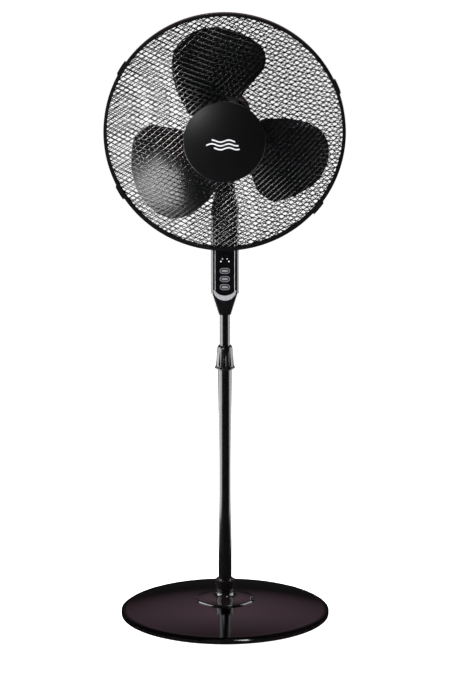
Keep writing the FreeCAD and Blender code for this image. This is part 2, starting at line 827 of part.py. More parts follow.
def panel_lip():
    """The silver crescent that closes the fascia's foot and stands a little proud."""
    skin = column_body(val("LipProud")).cut(column_body(-val("PanelThick")))
    return lip_prism(-val("PanelGap")).common(skin)


def button(height):
    """A key: the cap through the fascia, the flange that keeps it in, and the stem to its switch."""
    width, tall, lap = val("ButtonWidth"), val("ButtonHeight"), 2 * val("ButtonFlange")
    flange_rear = val(f"{FLANGE_FRONT} + ButtonFlangeThick")
    cap = stadium(width, tall, val(f"{FACE} - ButtonProud"), flange_rear, height)
    rim = [edge for edge in cap.Edges if edge.BoundBox.YMax < val(FACE)]
    cap = cap.makeFillet(val("ButtonProud") * 0.75, rim)
    flange = stadium(width + lap, tall + lap, val(FLANGE_FRONT), flange_rear, height)
    stem = rod_y(tall / 4, flange_rear, val(STEM_END), 0, height)
    return cap.fuse([flange, stem])


def spine():
    """The load-bearing spine: a socket on the inner tube, an open channel and the tilt fork."""
    socket_top = "SpineFoot + SocketLength"
    inner_width = "SpineWidth - 2 * SpineWall"
    solid = [
        rod("SpineSocket", "SocketLength", (0, 0, "SpineFoot")),
        block("SpineWidth", "SpineDepth", f"SpineTop - ({socket_top}) + 4",
              ("-SpineWidth / 2", "-SpineDepth / 2", f"{socket_top} - 4")),
    ]
    ear_start = "(TongueHalf + Shadow)"
    for x in (ear_start, f"-{ear_start} - EarThick"):
        solid.append(block("EarThick", "2 * TongueRadius", "TiltHeight - SpineTop + 16",
                           (x, "-TongueRadius", "SpineTop - 16")))
        solid.append(rod("TongueRadius", "EarThick", (x, 0, "TiltHeight"), "X"))
    return cut(
        joined(*solid),
        rod("InnerTube + Running", "InnerTubeTop - SpineFoot", (0, 0, "SpineFoot")),
        block(inner_width, "SpineDepth", "SpineTop - SpineFoot",
              (f"-({inner_width}) / 2", "-SpineDepth / 2 + SpineWall", f"{socket_top} + SpineWall")),
        rod("TiltBolt + Running", 100, (-50, 0, "TiltHeight"), "X"),
        rod("ScrewRadius + Slip", "2 * SpineSocket", (0, 0, "ClampHeight"), "Y"),
    )


def gland():
    """The cord's gland in the rear shell, flanged on both sides of the wall, with a tapering nose."""
    wall = "ColumnWall"
    return turned([
        ("GlandBore", 0),
        ("GlandBore + 3.5", 0),
        ("GlandBore + 3.5", 1.5),
        ("GlandBore + 1.9", 1.5),
        ("GlandBore + 1.9", f"1.6 + {wall}"),
        ("GlandBore + 3.5", f"1.6 + {wall}"),
        ("GlandBore + 3.5", f"3.4 + {wall}"),
        ("GlandBore + 1.2", f"12 + {wall}"),
        ("GlandBore", f"12 + {wall}"),
    ], (0, "ColumnDepth / 2 - ColumnWall - 1.55", "GlandHeight"), "Y")


def tact_switches():
    """A switch on the board behind each button."""
    switches = []
    half = 3
    for height in BUTTONS.values():
        z = val(height)
        body = Part.makeBox(
            2 * half, val("SwitchBody"), 2 * half,
            Vector(-half, val(f"{BOARD_FRONT} - SwitchBody"), z - half))
        plunger = rod_y(1.75, val(PLUNGER_TIP), val(f"{PLUNGER_TIP} + SwitchPlunger"), 0, z)
        switches.append(body.fuse(plunger))
    return Part.makeCompound(switches)


shell = column_shell()
node(spine(), "column_spine")
node(shaped(column_front(shell)), "column_front")
node(shaped(column_rear(shell)), "column_rear")
node(shaped(column_screws()), "column_screws")
node(shaped(control_panel()), "control_panel")
node(shaped(panel_lip()), "panel_lip")
for name, height in BUTTONS.items():
    node(shaped(button(val(height))), name)
led_length = f"{BOARD_FRONT} - {FACE} + 0.2"
node(group(*[rod("LedRadius", led_length, (x, f"{FACE} - 0.2", z), "Y") for x, z in LEDS]), "indicator_leds")
node(rod("WindowRadius", "PanelThick + 0.1", (0, f"{FACE} - 0.1", "WindowHeight"), "Y"), "receiver_window")
board = block("BoardWidth", "BoardThick", "BoardHeight", ("-BoardWidth / 2", BOARD_FRONT, "BoardFoot"))
node(board, "control_board")
node(shaped(tact_switches()), "tact_switches")
clamp_screw = joined(
    rod("ScrewRadius", "SpineSocket - InnerTube - Running", (0, "InnerTube + Running", "ClampHeight"), "Y"),
    rod("ScrewHead", 2, (0, "SpineSocket", "ClampHeight"), "Y"),
)
node(clamp_screw, "clamp_screw")
node(gland(), "cord_gland")

# ---------------------------------------------------------------- tilt joint

ear_face = "(TongueHalf + Shadow + EarThick)"
tilt_bolt = joined(
    rod("TiltHead", 3, (f"-{ear_face} - 3", 0, "TiltHeight"), "X"),
    rod("TiltBolt", f"2 * {ear_face} + 2.8", (f"-{ear_face}", 0, "TiltHeight"), "X"),
)
node(tilt_bolt, "tilt_bolt")
tilt_nut = doc.addObject("Part::Prism", "Nut")
tilt_nut.Polygon = 6
bind(tilt_nut, "Circumradius", "TiltNut")
bind(tilt_nut, "Height", 3)
place(tilt_nut, (ear_face, 0, "TiltHeight"), "X")
node(cut(tilt_nut, rod("TiltBolt + Running", 10, (ear_face, 0, "TiltHeight"), "X")), "tilt_nut")


def neck():
    """The tilting neck: a tongue in the fork, a round body, and a slotted lever for the swing crank."""
    body = joined(
        rod("TongueRadius", "2 * TongueHalf", ("-TongueHalf", 0, "TiltHeight"), "X"),
        block("2 * TongueHalf", "TongueDepth", "NeckFoot - TiltHeight + 2",
              ("-TongueHalf", "-TongueDepth / 2", "TiltHeight")),
        rod("NeckRadius", "LeverFoot + LeverThick - NeckFoot", (0, 0, "NeckFoot")),
        block("2 * LeverHalf", "LeverReach", "LeverThick", ("-LeverHalf", 0, "LeverFoot")),
        rod("LeverHalf", "LeverThick", (0, "LeverReach", "LeverFoot")),
        rod("NeckBoss", "BossTop - LeverFoot", (0, 0, "LeverFoot")),
    )
    slot_half = "(CrankPin + SlotRoom)"
    slot_start = "(CrankOffset + 1.5)"
    return cut(
        body,
        rod("TiltBolt + Running", "4 * TongueHalf", ("-2 * TongueHalf", 0, "TiltHeight"), "X"),
        rod("PivotRadius + Running", "BossTop - PivotFoot + 1", (0, 0, "PivotFoot - 1")),
        rod("PivotScrew + Running", "NeckRadius", (0, "-NeckRadius", "GrooveHeight"), "Y"),
        block(f"2 * {slot_half}", f"LeverReach - {slot_start}", "2 * LeverThick",
              (f"-{slot_half}", slot_start, "LeverFoot")),
        rod(slot_half, "2 * LeverThick", (0, slot_start, "LeverFoot")),
        rod(slot_half, "2 * LeverThick", (0, "LeverReach", "LeverFoot")),
    )


node(neck(), "neck")
screw_length = "NeckRadius - PivotRadius + GrooveDepth - 0.4"
node(rod("PivotScrew", screw_length, (0, "-NeckRadius + 0.2", "GrooveHeight"), "Y"), "pivot_screw")

# ---------------------------------------------------------------- swing drive

bracket_top = "(BossTop + BracketThick)"
swing_pin = cut(
    joined(
        rod("PivotRadius", f"{bracket_top} - PivotFoot", (0, 0, "PivotFoot")),
        rod("NeckBoss", 2, (0, 0, bracket_top)),
    ),
    pipe("2 * PivotRadius", "PivotRadius - GrooveDepth", "2 * GrooveHalf", (0, 0, "GrooveHeight - GrooveHalf")),
)
node(swing_pin, "swing_pin")


def head_bracket():
    """The cast bracket under the motor: a plate on the swing pin and two saddles for the end shields."""
    length = "BracketRear - BracketFront"
    saddle_rise = "20"
    saddles = []
    for start in ("StatorFront - ShieldDepth + 2", "StatorFront + StatorLength + 4"):
        saddles.append(block("2 * SaddleHalf", 8, saddle_rise, ("-SaddleHalf", start, "BossTop")))
    return cut(
        joined(block("2 * BracketHalf", length, "BracketThick", ("-BracketHalf", "BracketFront", "BossTop")), *saddles),
        rod("ShieldRadius + Running", 200, (0, -100, "HeadHeight"), "Y"),
        rod("PivotRadius + Running", 20, (0, 0, "BossTop - 1")),
        rod("NeckBoss + Slip", 20, (0, 0, bracket_top)),
    )


node(head_bracket(), "head_bracket")
motor_foot = "(BossTop - SwingMotorHeight)"
swing_motor = joined(
    rod("SwingMotorRadius", "SwingMotorHeight", (0, "NeckBoss + 1.5 + SwingMotorRadius", motor_foot)),
    rod("CrankShaft", 4.4, (0, "CrankOffset", f"{motor_foot} - 4.4")),
)
node(swing_motor, "swing_motor")
crank_foot = f"({motor_foot} - CrankThick - 0.8)"
crank_hub, crank_end = "(CrankShaft + 1.5)", "(CrankPin + 1.3)"
crank = cut(
    joined(
        rod(crank_hub, "CrankThick", (0, "CrankOffset", crank_foot)),
        rod(crank_end, "CrankThick", (0, "CrankOffset + CrankThrow", crank_foot)),
        block(f"2 * {crank_end}", "CrankThrow", "CrankThick", (f"-{crank_end}", "CrankOffset", crank_foot)),
        rod("CrankPin", f"{crank_foot} - LeverFoot - 0.6 + 1", (0, "CrankOffset + CrankThrow", "LeverFoot + 0.6")),
    ),
    rod("CrankShaft + Running", 20, (0, "CrankOffset", f"{crank_foot} - 5")),
)
node(crank, "swing_crank")

# ---------------------------------------------------------------- motor

STATOR_REAR = "(StatorFront + StatorLength)"
SHIELD_FRONT = "(StatorFront - ShieldDepth)"
SHIELD_REAR = f"({STATOR_REAR} + ShieldDepth)"
HEAD = (0, 0, "HeadHeight")


def about_head(angle, radius):
    """Where a point at a radius and an angle about the head's axis lies, as x and z expressions."""
    return f"({radius}) * cos({angle} * 1 deg)", f"HeadHeight + ({radius}) * sin({angle} * 1 deg)"


def end_shields():
    """The two cups that close the stator and carry the shaft's bushes in their bosses."""
    cup = "ShieldRadius - ShieldWall"
    front = turned([
        ("BushRadius", f"{SHIELD_FRONT} - FrontBossLength"),
        ("BearingBoss", f"{SHIELD_FRONT} - FrontBossLength"),
        ("BearingBoss", SHIELD_FRONT),
        ("ShieldRadius - 4", SHIELD_FRONT),
        ("ShieldRadius", f"{SHIELD_FRONT} + 4", "4"),
        ("ShieldRadius", "StatorFront"),
        (cup, "StatorFront"),
        (cup, f"{SHIELD_FRONT} + 4"),
        (f"{cup} - 1.5", f"{SHIELD_FRONT} + ShieldWall"),
        ("BearingBoss", f"{SHIELD_FRONT} + ShieldWall"),
        ("BearingBoss", f"{SHIELD_FRONT} + FrontBossLength"),
        ("BushRadius", f"{SHIELD_FRONT} + FrontBossLength"),
    ], HEAD, "Y")
    rear = turned([
        (cup, STATOR_REAR),
        ("ShieldRadius", STATOR_REAR),
        ("ShieldRadius", f"{SHIELD_REAR} - 4"),
        ("ShieldRadius - 4", SHIELD_REAR, "4"),
        ("BearingBoss", SHIELD_REAR),
        ("BearingBoss", f"{SHIELD_REAR} + RearBossLength"),
        ("BushRadius", f"{SHIELD_REAR} + RearBossLength"),
        ("BushRadius", f"{SHIELD_REAR} - BushLength"),
        ("BearingBoss", f"{SHIELD_REAR} - BushLength"),
        ("BearingBoss", f"{SHIELD_REAR} - ShieldWall"),
        (f"{cup} - 1.5", f"{SHIELD_REAR} - ShieldWall"),
        (cup, f"{SHIELD_REAR} - 4"),
    ], HEAD, "Y")
    return front, rear


def bolt_holes(start, end):
    """The through bolts' holes, from one y to another."""
    spots = [about_head(45 + 90 * k, "ThroughCircle") for k in range(4)]
    return [rod("ThroughBolt + Running", f"({end}) - ({start})", (x, start, z), "Y") for x, z in spots]


def through_bolts():
    bolts = []
    foot = "(CoverFront + CoverPlate / 2)"
    for k in range(4):
        x, z = about_head(45 + 90 * k, "ThroughCircle")
        shank = rod("ThroughBolt", f"{SHIELD_REAR} - {foot}", (x, foot, z), "Y")
        bolts.append(joined(shank, rod("RivetHead + 0.5", 2, (x, SHIELD_REAR, z), "Y")))
    return group(*bolts)


def stator_core():
    """The lamination stack: a ring with a slot for each coil side and four bolt holes."""
    slots = []
    start, width, stack = (val(word) for word in ("StatorBore - 1", "SlotWidth", "StatorLength"))
    length = val("WindingRing + WindingRadius + 0.4") - start
    for k in range(int(val("SlotCount"))):
        slot = Part.makeBox(length, stack + 2, width, Vector(start, -1, -width / 2))
        slot.rotate(Vector(), Vector(0, -1, 0), 360 * k / val("SlotCount"))
        slots.append(shaped(slot, (0, "StatorFront", "HeadHeight")))
    ring = pipe("StatorRadius", "StatorBore", "StatorLength", (0, "StatorFront", "HeadHeight"), "Y")
    return cut(ring, *slots, *bolt_holes("StatorFront - 1", f"{STATOR_REAR} + 1"))


def stator_windings():
    """The coil: a ring of end turns at each face of the stack, joined by a bar in every slot."""
    ring, radius = val("WindingRing"), val("WindingRadius")
    ends = [val("StatorFront") - radius - 0.1, val(STATOR_REAR) + radius + 0.1]
    parts = [Part.makeTorus(ring, radius, Vector(0, y, 0), Vector(0, 1, 0)) for y in ends]
    half = val("SlotWidth") / 2 - val("Shadow")
    for k in range(int(val("SlotCount"))):
        bar = Part.makeBox(2 * half, ends[1] - ends[0], 2 * half, Vector(ring - half, ends[0], -half))
        bar.rotate(Vector(), Vector(0, -1, 0), 360 * k / val("SlotCount"))
        parts.append(bar)
    return parts[0].fuse(parts[1:])


def head_prism(inset, start, end):
    """The chamber under the motor: a box with two rounded lower corners, its top on the head's axis."""
    half, foot, corner = val("ChamberHalf") - inset, val("ChamberFoot") + inset, val("ChamberCorner") - inset
    slack = corner * (1 - math.sqrt(0.5))
    outline = drawn(
        (half, val("HeadHeight")),
        (-half, val("HeadHeight")),
        (-half, foot + corner),
        (-half + corner, foot, -half + slack, foot + slack),
        (half - corner, foot),
        (half, foot + corner, half - slack, foot + slack),
    )
    return prism(outline, start, end)


def motor_body(inset, start):
    """The rear cover as one solid: a barrel with a domed end, and the chamber below it.

    The dome's section is a shoulder arc and a flatter arc that meet smoothly. Both keep their
    centres whatever the inset, so the cover's wall is even.
    """
    radius, barrel, shoulder = val("CoverRadius") - inset, val("BarrelEnd"), val("DomeShoulder")
    centre = Vector(val("CoverRadius") - shoulder, 0, barrel)
    turn = math.radians(val("DomeTurn"))
    back = centre.x / math.cos(turn)  # from the shoulder's centre to the flat arc's, which is on the axis
    crown = Vector(0, 0, barrel - back * math.sin(turn))

    def on_arc(middle, distance, angle):
        return middle.x + distance * math.cos(angle), middle.z + distance * math.sin(angle)

    small, large = shoulder - inset, back + shoulder - inset
    outline = drawn(
        (0, start),
        (radius, start),
        (radius, barrel),
        (*on_arc(centre, small, turn), *on_arc(centre, small, turn / 2)),
        (*on_arc(crown, large, math.pi / 2), *on_arc(crown, large, (turn + math.pi / 2) / 2)),
    )
    turned_body = Part.Face(outline).revolve(Vector(), Vector(0, 0, 1), 360)
    turned_body.Placement = Placement(Vector(0, 0, val("HeadHeight")), TURN_TO["Y"])
    return turned_body.fuse(head_prism(inset, start, val("ChamberRear") - inset))


def motor_cover_rear():
    """The rear cover: barrel, domed end with vents, and the chamber with the neck's hole."""
    start = val("CoverFront + CoverPlate")
    skin = motor_body(0, start).cut(motor_body(val("HeadCoverWall"), start - 1))
    neck_hole = Part.makeCylinder(val("NeckRadius") + 1, 20, Vector(0, 0, val("ChamberFoot") - 10))
    vents = []
    for k in range(int(val("VentCount"))):
        width = val("VentWidth")
        vent = Part.makeBox(18, REACH, width, Vector(15, val("BarrelEnd"), -width / 2))
        vent.rotate(Vector(), Vector(0, -1, 0), 360 * k / val("VentCount"))
        vent.translate(Vector(0, 0, val("HeadHeight")))
        vents.append(vent)
    return skin.cut([neck_hole] + vents)


def motor_cover_front():
    """The front cover: a plate with the rear cover's outline and a hollow nose for the guard's nut."""
    start, end = val("CoverFront"), val("CoverFront + CoverPlate")
    axis = (0, val("HeadHeight"))
    plate = rod_y(val("CoverRadius"), start, end, *axis).fuse(head_prism(0, start, end))
    plate = plate.cut(rod_y(val("BushRadius") + 1, start - 1, end + 1, *axis))
    nose = rod_y(val("NoseRadius"), start - val("NoseLength"), start, *axis)
    nose = nose.cut(rod_y(val("NoseBore"), start - val("NoseLength"), start, *axis))
    bolts = []
    for k in range(4):
        x, z = (val(word) for word in about_head(45 + 90 * k, "ThroughCircle"))
        bolts.append(rod_y(val("ThroughBolt + Running"), start + val("CoverPlate") / 2, end, x, z))
    return plate.fuse(nose).cut(bolts).removeSplitter()


front_shield, rear_shield = end_shields()
through_front = bolt_holes(f"{SHIELD_FRONT} - 1", f"{SHIELD_FRONT} + ShieldWall + 4")
through_rear = bolt_holes(f"{SHIELD_REAR} - ShieldWall - 4", f"{SHIELD_REAR} + 1")
node(cut(front_shield, *through_front), "motor_front_shield")
node(cut(rear_shield, *through_rear), "motor_rear_shield")
bush_outer, bush_bore = "BushRadius - Running", "ShaftRadius + Running"
bushes = [
    pipe(bush_outer, bush_bore, "BushLength", (0, start, "HeadHeight"), "Y")
    for start in (f"{SHIELD_FRONT} - FrontBossLength + 2", f"{SHIELD_REAR} - BushLength + 1")
]
node(group(*bushes), "bearing_bushes")
node(stator_core(), "stator_core")
node(shaped(stator_windings(), HEAD), "stator_windings")
rotor_radius = "StatorBore - AirGap"
node(pipe(rotor_radius, bush_bore, "StatorLength", (0, "StatorFront", "HeadHeight"), "Y"), "rotor_core")
pin_at = ("-DrivePinLength / 2", "DrivePinAt", "HeadHeight")
shaft = rod("ShaftRadius", "ShaftRear - ShaftFront", (0, "ShaftFront", "HeadHeight"), "Y")
node(cut(shaft, rod("DrivePinRadius + Running", "DrivePinLength", pin_at, "X")), "motor_shaft")
node(through_bolts(), "through_bolts")
node(shaped(motor_cover_front()), "motor_cover_front")
node(shaped(motor_cover_rear()), "motor_cover_rear")

# ---------------------------------------------------------------- blades

BLADE_EDGE = [  # (angle, radius) up the leading edge, round the tip and down the trailing edge
    (57, 129), (59.5, 147), (64, 162), (72, 173), (83, 184), (95, 193.5), (103, 195), (109, 193), (120, 180),
    (125, 166), (130, 147), (134, 129), (138, 110), (142, 92), (147, 76),
]
BLADE_ROOT = [(133, 47), (115, 47), (95, 47), (70, 47)]  # inside the hub's wall
MIDDLE_ANGLE, HALF_ANGLE = 103.5, 46.5  # of the blade, for its camber


def polar(angle, radius):
    """A point on the XZ plane at an angle about the head's axis, counter-clockwise from the front."""
    return Vector(radius * math.cos(math.radians(angle)), 0, radius * math.sin(math.radians(angle)))


def blade():
    """The top blade: a helical, cambered sheet of even axial thickness, cut to its outline."""
    plane, lead, camber = val("BladePlane"), val("BladeLead"), val("BladeCamber")
    grid = []
    for radius in range(38, 211, 12):
        row = []
        for angle in range(50, 157, 6):
            swell = camber * (1 - ((angle - MIDDLE_ANGLE) / HALF_ANGLE) ** 2)
            travel = lead * math.radians(angle - val("TopBladeAngle"))
            row.append(polar(angle, radius) + Vector(0, plane - travel + swell, 0))
        grid.append(row)
    surface = Part.BSplineSurface()
    surface.interpolate(grid)
    sheet_metal = surface.toShape().extrude(Vector(0, -val("BladeThick"), 0))
    scale = val("BladeTip") / 195
    edge = [polar(angle, radius * scale) for angle, radius in BLADE_EDGE]
    root = [polar(angle, radius) for angle, radius in BLADE_ROOT]
    curve = Part.BSplineCurve()
    curve.interpolate(edge)
    corners = [edge[-1]] + root + [edge[0]]
    sides = [Part.LineSegment(a, b).toShape() for a, b in zip(corners, corners[1:])]
    outline = Part.Face(Part.Wire([curve.toShape()] + sides))
    outline.translate(Vector(0, plane - REACH, 0))
    return sheet_metal.common(outline.extrude(Vector(0, 2 * REACH, 0)))


def hub():
    """The blades' hub: a deep cap, open at the rear, with a boss for the shaft."""
    wall, edge = "HubWall", "(HubRadius - HubRound)"
    return turned([
        ("ShaftRadius + Running", "HubFront"),
        (edge, "HubFront"),
        ("HubRadius", "HubFront + HubRound", "HubRound"),
        ("HubRadius", "HubRear"),
        (f"HubRadius - {wall}", "HubRear"),
        (f"HubRadius - {wall}", "HubFront + HubRound"),
        (edge, f"HubFront + {wall}", "-(HubRound - HubWall)"),
        ("HubBoss", f"HubFront + {wall}"),
        ("HubBoss", "HubRear - 4"),
        ("ShaftRadius + Running", "HubRear - 4"),
    ], HEAD, "Y")


blades = []
for k in range(int(val("BladeCount"))):
    item = blade()
    item.rotate(Vector(), Vector(0, -1, 0), 360 * k / val("BladeCount"))
    blades.append(shaped(item, HEAD))
pin_slot = "(DrivePinRadius + Running)"
hub_and_blades = joined(hub(), *blades)
hub_and_blades.Refine = False
blade_set = cut(
    hub_and_blades,
    rod(pin_slot, "2 * HubBoss + 2", ("-HubBoss - 1", "DrivePinAt", "HeadHeight"), "X"),
    block("2 * HubBoss + 2", "HubRear - DrivePinAt", f"2 * {pin_slot}",
          ("-HubBoss - 1", "DrivePinAt", f"HeadHeight - {pin_slot}")),
)
node(blade_set, "blade_set")
node(rod("DrivePinRadius", "DrivePinLength", pin_at, "X"), "drive_pin")
spinner = turned([
    (0, "HubFront - SpinnerLength"),
    ("SpinnerRadius - 6", "HubFront - SpinnerLength + 1"),
    ("SpinnerRadius", "HubFront - SpinnerLength + 7", "7"),
    ("SpinnerRadius", "HubFront"),
    ("ShaftRadius + Running", "HubFront"),
    ("ShaftRadius + Running", "ShaftFront - 0.5"),
    (0, "ShaftFront - 0.5"),
], HEAD, "Y")
node(spinner, "spinner")

# ---------------------------------------------------------------- guard

FRONT_RING = "(RimPlane - RingOffset)"
REAR_RING = "(RimPlane + RingOffset)"
FRONT_SPHERE = "((MeshRadius ^ 2 + FrontDepth ^ 2) / (2 * FrontDepth))"
REAR_SPHERE = "RearSphere"


def mesh_wire(sphere, centre, forward, lean, offset, inner, outer):
    """One round wire on a sphere, as an arc in a plane parallel to the axis.

    The plane is turned by lean about the axis and stands off it by offset. The wire runs from
    inner to outer, which are measured along the plane from its middle.
    """
    across, along = polar(lean + 90, 1), polar(lean, 1)
    middle = centre + across * offset
    radius = math.sqrt(sphere**2 - offset**2)
    start, end = (math.asin(limit / radius) for limit in (inner, outer))
    foot = middle + (forward * math.cos(start) + along * math.sin(start)) * radius
    heading = along * math.cos(start) - forward * math.sin(start)
    section = Part.Face(Part.Wire(Part.makeCircle(val("MeshWire"), foot, heading)))
    return section.revolve(middle, forward.cross(along), math.degrees(end - start))


def mesh(sphere, ring, depth, side, pitch, lean, hole):
    """Two crossing families of wires. The second lies in front of the first.

    No part of a wire is nearer the axis than the hole, or further out than the mesh's edge.
    """
    forward = Vector(0, side, 0)
    centre = Vector(0, val(ring) - side * (val(sphere) - val(depth)), val("HeadHeight"))
    thick, step = val("MeshWire"), val(pitch) * val("WireStep")
    edge = val("MeshRadius") * (1 - thick / val(sphere))  # the end faces lean outwards
    wires = []
    for layer, turn in enumerate((1, -1)):
        radius = val(sphere) - side * layer * (2 * thick + val("WireGap"))
        aim = val(lean) + turn * val("MeshAngle")
        for k in range(int(edge / step + 0.5)):
            off = step * (k + 0.5)
            end = math.sqrt(edge**2 - (off + thick) ** 2)
            runs = [(-end, end)]
            if off < hole:
                start = math.sqrt(hole**2 - (off - thick) ** 2)
                runs = [(start, end), (-end, -start)]
            for offset in (off, -off):
                wires += [mesh_wire(radius, centre, forward, aim, offset, *run) for run in runs]
    return Part.makeCompound(wires)


def channel(skin, wall, half, lip, start, angle):
    """A U-shaped strip about the rim, open to the inside, from one angle over another."""
    side, thick = skin - wall, val("LipThick")
    outline = drawn(
        (lip, -half), (skin, -half), (skin, half), (lip, half),
        (lip, half - thick), (side, half - thick), (side, thick - half), (lip, thick - half),
    )
    strip = Part.Face(outline).revolve(Vector(), Vector(0, 0, 1), angle)
    strip.rotate(Vector(), Vector(0, 0, 1), start)
    strip.Placement = Placement(Vector(0, val("RimPlane"), val("HeadHeight")), TURN_TO["-Y"]) * strip.Placement
    return strip


def on_rim(radius, start, end, angle):
    """A rod that points out from the head's axis, in the rim's plane."""
    foot = polar(angle, start) + Vector(0, val("RimPlane"), val("HeadHeight"))
    return Part.makeCylinder(radius, end - start, foot, polar(angle, 1))


def rim_band():
    """The split band that holds both rings, with a rivet hole beside its joint."""
    gap = math.degrees(val("JointGap / BandRadius"))
    band = channel(val("BandRadius"), val("BandWall"), val("BandHalf"), val("BandLip"),
                   val("BandJoint") + gap / 2, 360 - gap)
    hole = on_rim(val("RivetRadius + Running"), val("BandRadius") - 5, val("BandRadius") + 5, val("RivetAngle"))
    return band.cut(hole)


def rim_clips():
    """Four clips that snap over the band."""
    clips = []
    skin = val("BandRadius + Slip + ClipThick")
    angle = math.degrees(val("ClipLength / BandRadius"))
    for middle in CLIP_ANGLES:
        clips.append(channel(skin, val("ClipThick"), val("ClipHalf"), val("ClipLip"), middle - angle / 2, angle))
    return Part.makeCompound(clips)


def rim_rivet():
    skin = val("BandRadius")
    shank = on_rim(val("RivetRadius"), skin - val("BandWall"), skin, val("RivetAngle"))
    head = on_rim(val("RivetHead"), skin, skin + val("RivetHeight"), val("RivetAngle"))
    return shank.fuse(head)


def guard_nut():
    """The big plastic nut that holds the rear guard on the motor's nose, with finger lobes."""
    foot = "(CoverFront - HubPlateThick - GuardNutThick)"
    lobes = []
    for k in range(int(val("GuardNutLobes"))):
        x, z = about_head(f"({k} * 360 / GuardNutLobes)", "GuardNutRadius - 4")
        lobes.append(rod(4, "GuardNutThick", (x, foot, z), "Y"))
    ring = rod("GuardNutRadius - 2.5", "GuardNutThick", (0, foot, "HeadHeight"), "Y")
    return cut(joined(ring, *lobes), rod("NoseRadius + Slip", "GuardNutThick", (0, foot, "HeadHeight"), "Y"))


def badge():
    """The round badge: a shallow dish that follows the front mesh, with a screw boss behind it."""
    def surface(rise, radius):
        return f"sqrt(({FRONT_SPHERE} + {rise}) ^ 2 - ({radius}) ^ 2) - {FRONT_SPHERE} + FrontDepth"
    bore = "BadgeScrew + Running"
    return turned([
        (bore, "BadgeBossFoot"),
        ("BadgeBoss", "BadgeBossFoot"),
        ("BadgeBoss", surface("BadgeBack", "BadgeBoss")),
        ("BadgeRadius", surface("BadgeBack", "BadgeRadius"), f"-({FRONT_SPHERE} + BadgeBack)"),
        ("BadgeRadius", surface("BadgeFace", "BadgeRadius") + " - 1.2"),
        ("BadgeRadius - 1.2", surface("BadgeFace", "BadgeRadius - 1.2"), "1.4"),
        (0, "FrontDepth + BadgeFace", f"{FRONT_SPHERE} + BadgeFace"),
        (0, "FrontDepth + BadgeFace - 1"),
        (bore, "FrontDepth + BadgeFace - 1"),
    ], (0, FRONT_RING, "HeadHeight"), "-Y")


CLIP_ANGLES = (22.5, 147.6, 210.4, 320.5)

for ring_name, ring_at in (("front_guard_ring", FRONT_RING), ("rear_guard_ring", REAR_RING)):
    ring = doc.addObject("Part::Torus", "Ring")
    bind(ring, "Radius1", "RingRadius")
    bind(ring, "Radius2", "RingWire")
    node(place(ring, (0, ring_at, "HeadHeight"), "Y"), ring_name)
front_mesh = mesh(FRONT_SPHERE, FRONT_RING, "FrontDepth", -1, "FrontPitch", "FrontLean", 0)
rear_mesh = mesh(REAR_SPHERE, REAR_RING, "RearDepth", 1, "RearPitch", "RearLean", val("HubPlateRadius + Shadow"))
node(shaped(front_mesh), "front_guard_wires")
node(shaped(rear_mesh), "rear_guard_wires")
plate_at = (0, "CoverFront - HubPlateThick", "HeadHeight")
node(pipe("HubPlateRadius", "NoseRadius + 2 * Slip", "HubPlateThick", plate_at, "Y"), "guard_plate")
node(guard_nut(), "guard_nut")
node(shaped(rim_band()), "rim_band")
node(shaped(rim_clips()), "rim_clips")
node(shaped(rim_rivet()), "rim_rivet")
node(badge(), "badge")
screw_ring = f"{FRONT_RING} - BadgeScrewFoot"
badge_screw = joined(
    rod("BadgeScrewHead", 1.5, (0, screw_ring, "HeadHeight"), "-Y"),
    rod("BadgeScrew", "FrontDepth + BadgeFace - 1.2 - BadgeScrewFoot", (0, screw_ring, "HeadHeight"), "-Y"),
)
node(badge_screw, "badge_screw")

# ---------------------------------------------------------------- checks and export

doc.recompute()
for item in doc.Objects:
    if {"Invalid", "Error"} & set(item.State):
        raise RuntimeError(f"{item.Label} didn't compute: {item.State}")
    shape = getattr(item, "Shape", None)
    if shape is not None and not item.isDerivedFrom("App::OriginFeature"):
        if shape.isNull() or not shape.isValid():
            raise RuntimeError(f"{item.Label} has no valid shape")

os.makedirs("parts", exist_ok=True)
for item, name in nodes:
    if not item.Shape.Solids:
        raise RuntimeError(f"{name} has no solid")
    item.Shape.exportStep(f"parts/{name}.step")
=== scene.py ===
# %% [markdown]
# # A pedestal fan
#
# This lesson dresses a finished mechanical model of a pedestal fan: it gives every part its real
# finish, and rebuilds the parts whose looks depend on fine detail, such as the wire guard.
# The mechanical model comes in as a fixed frame. Nothing in it is moved, so each new piece is
# placed by asking the frame where its part is. Lengths are in metres, +Z is up, and the fan
# blows towards -Y.

# %% Load the frame
import math

import bmesh
import bpy
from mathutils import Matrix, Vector


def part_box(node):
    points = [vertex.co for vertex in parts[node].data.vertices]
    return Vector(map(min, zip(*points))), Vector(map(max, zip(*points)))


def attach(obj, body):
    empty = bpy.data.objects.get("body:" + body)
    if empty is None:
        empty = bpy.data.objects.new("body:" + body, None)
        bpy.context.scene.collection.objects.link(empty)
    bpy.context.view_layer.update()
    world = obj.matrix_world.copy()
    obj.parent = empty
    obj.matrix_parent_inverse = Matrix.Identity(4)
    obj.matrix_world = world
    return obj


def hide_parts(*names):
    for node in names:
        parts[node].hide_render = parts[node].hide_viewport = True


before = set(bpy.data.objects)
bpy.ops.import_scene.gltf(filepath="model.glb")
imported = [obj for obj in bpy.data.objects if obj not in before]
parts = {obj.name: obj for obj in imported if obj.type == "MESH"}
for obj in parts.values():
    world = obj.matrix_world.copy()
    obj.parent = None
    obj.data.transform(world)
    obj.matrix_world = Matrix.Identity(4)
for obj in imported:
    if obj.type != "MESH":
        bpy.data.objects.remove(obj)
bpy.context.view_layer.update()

# %% [markdown]
# ## Colours and nodes
#
# A colour picked on a screen is an sRGB value, but Blender's shaders want linear light. One
# function turns a hex code into a linear colour, so every colour below can be written the way a
# paint chart gives it. A second small function adds a shader node, sets its values and links its
# inputs, so that a material reads as a short list of steps. It serves every kind of node.

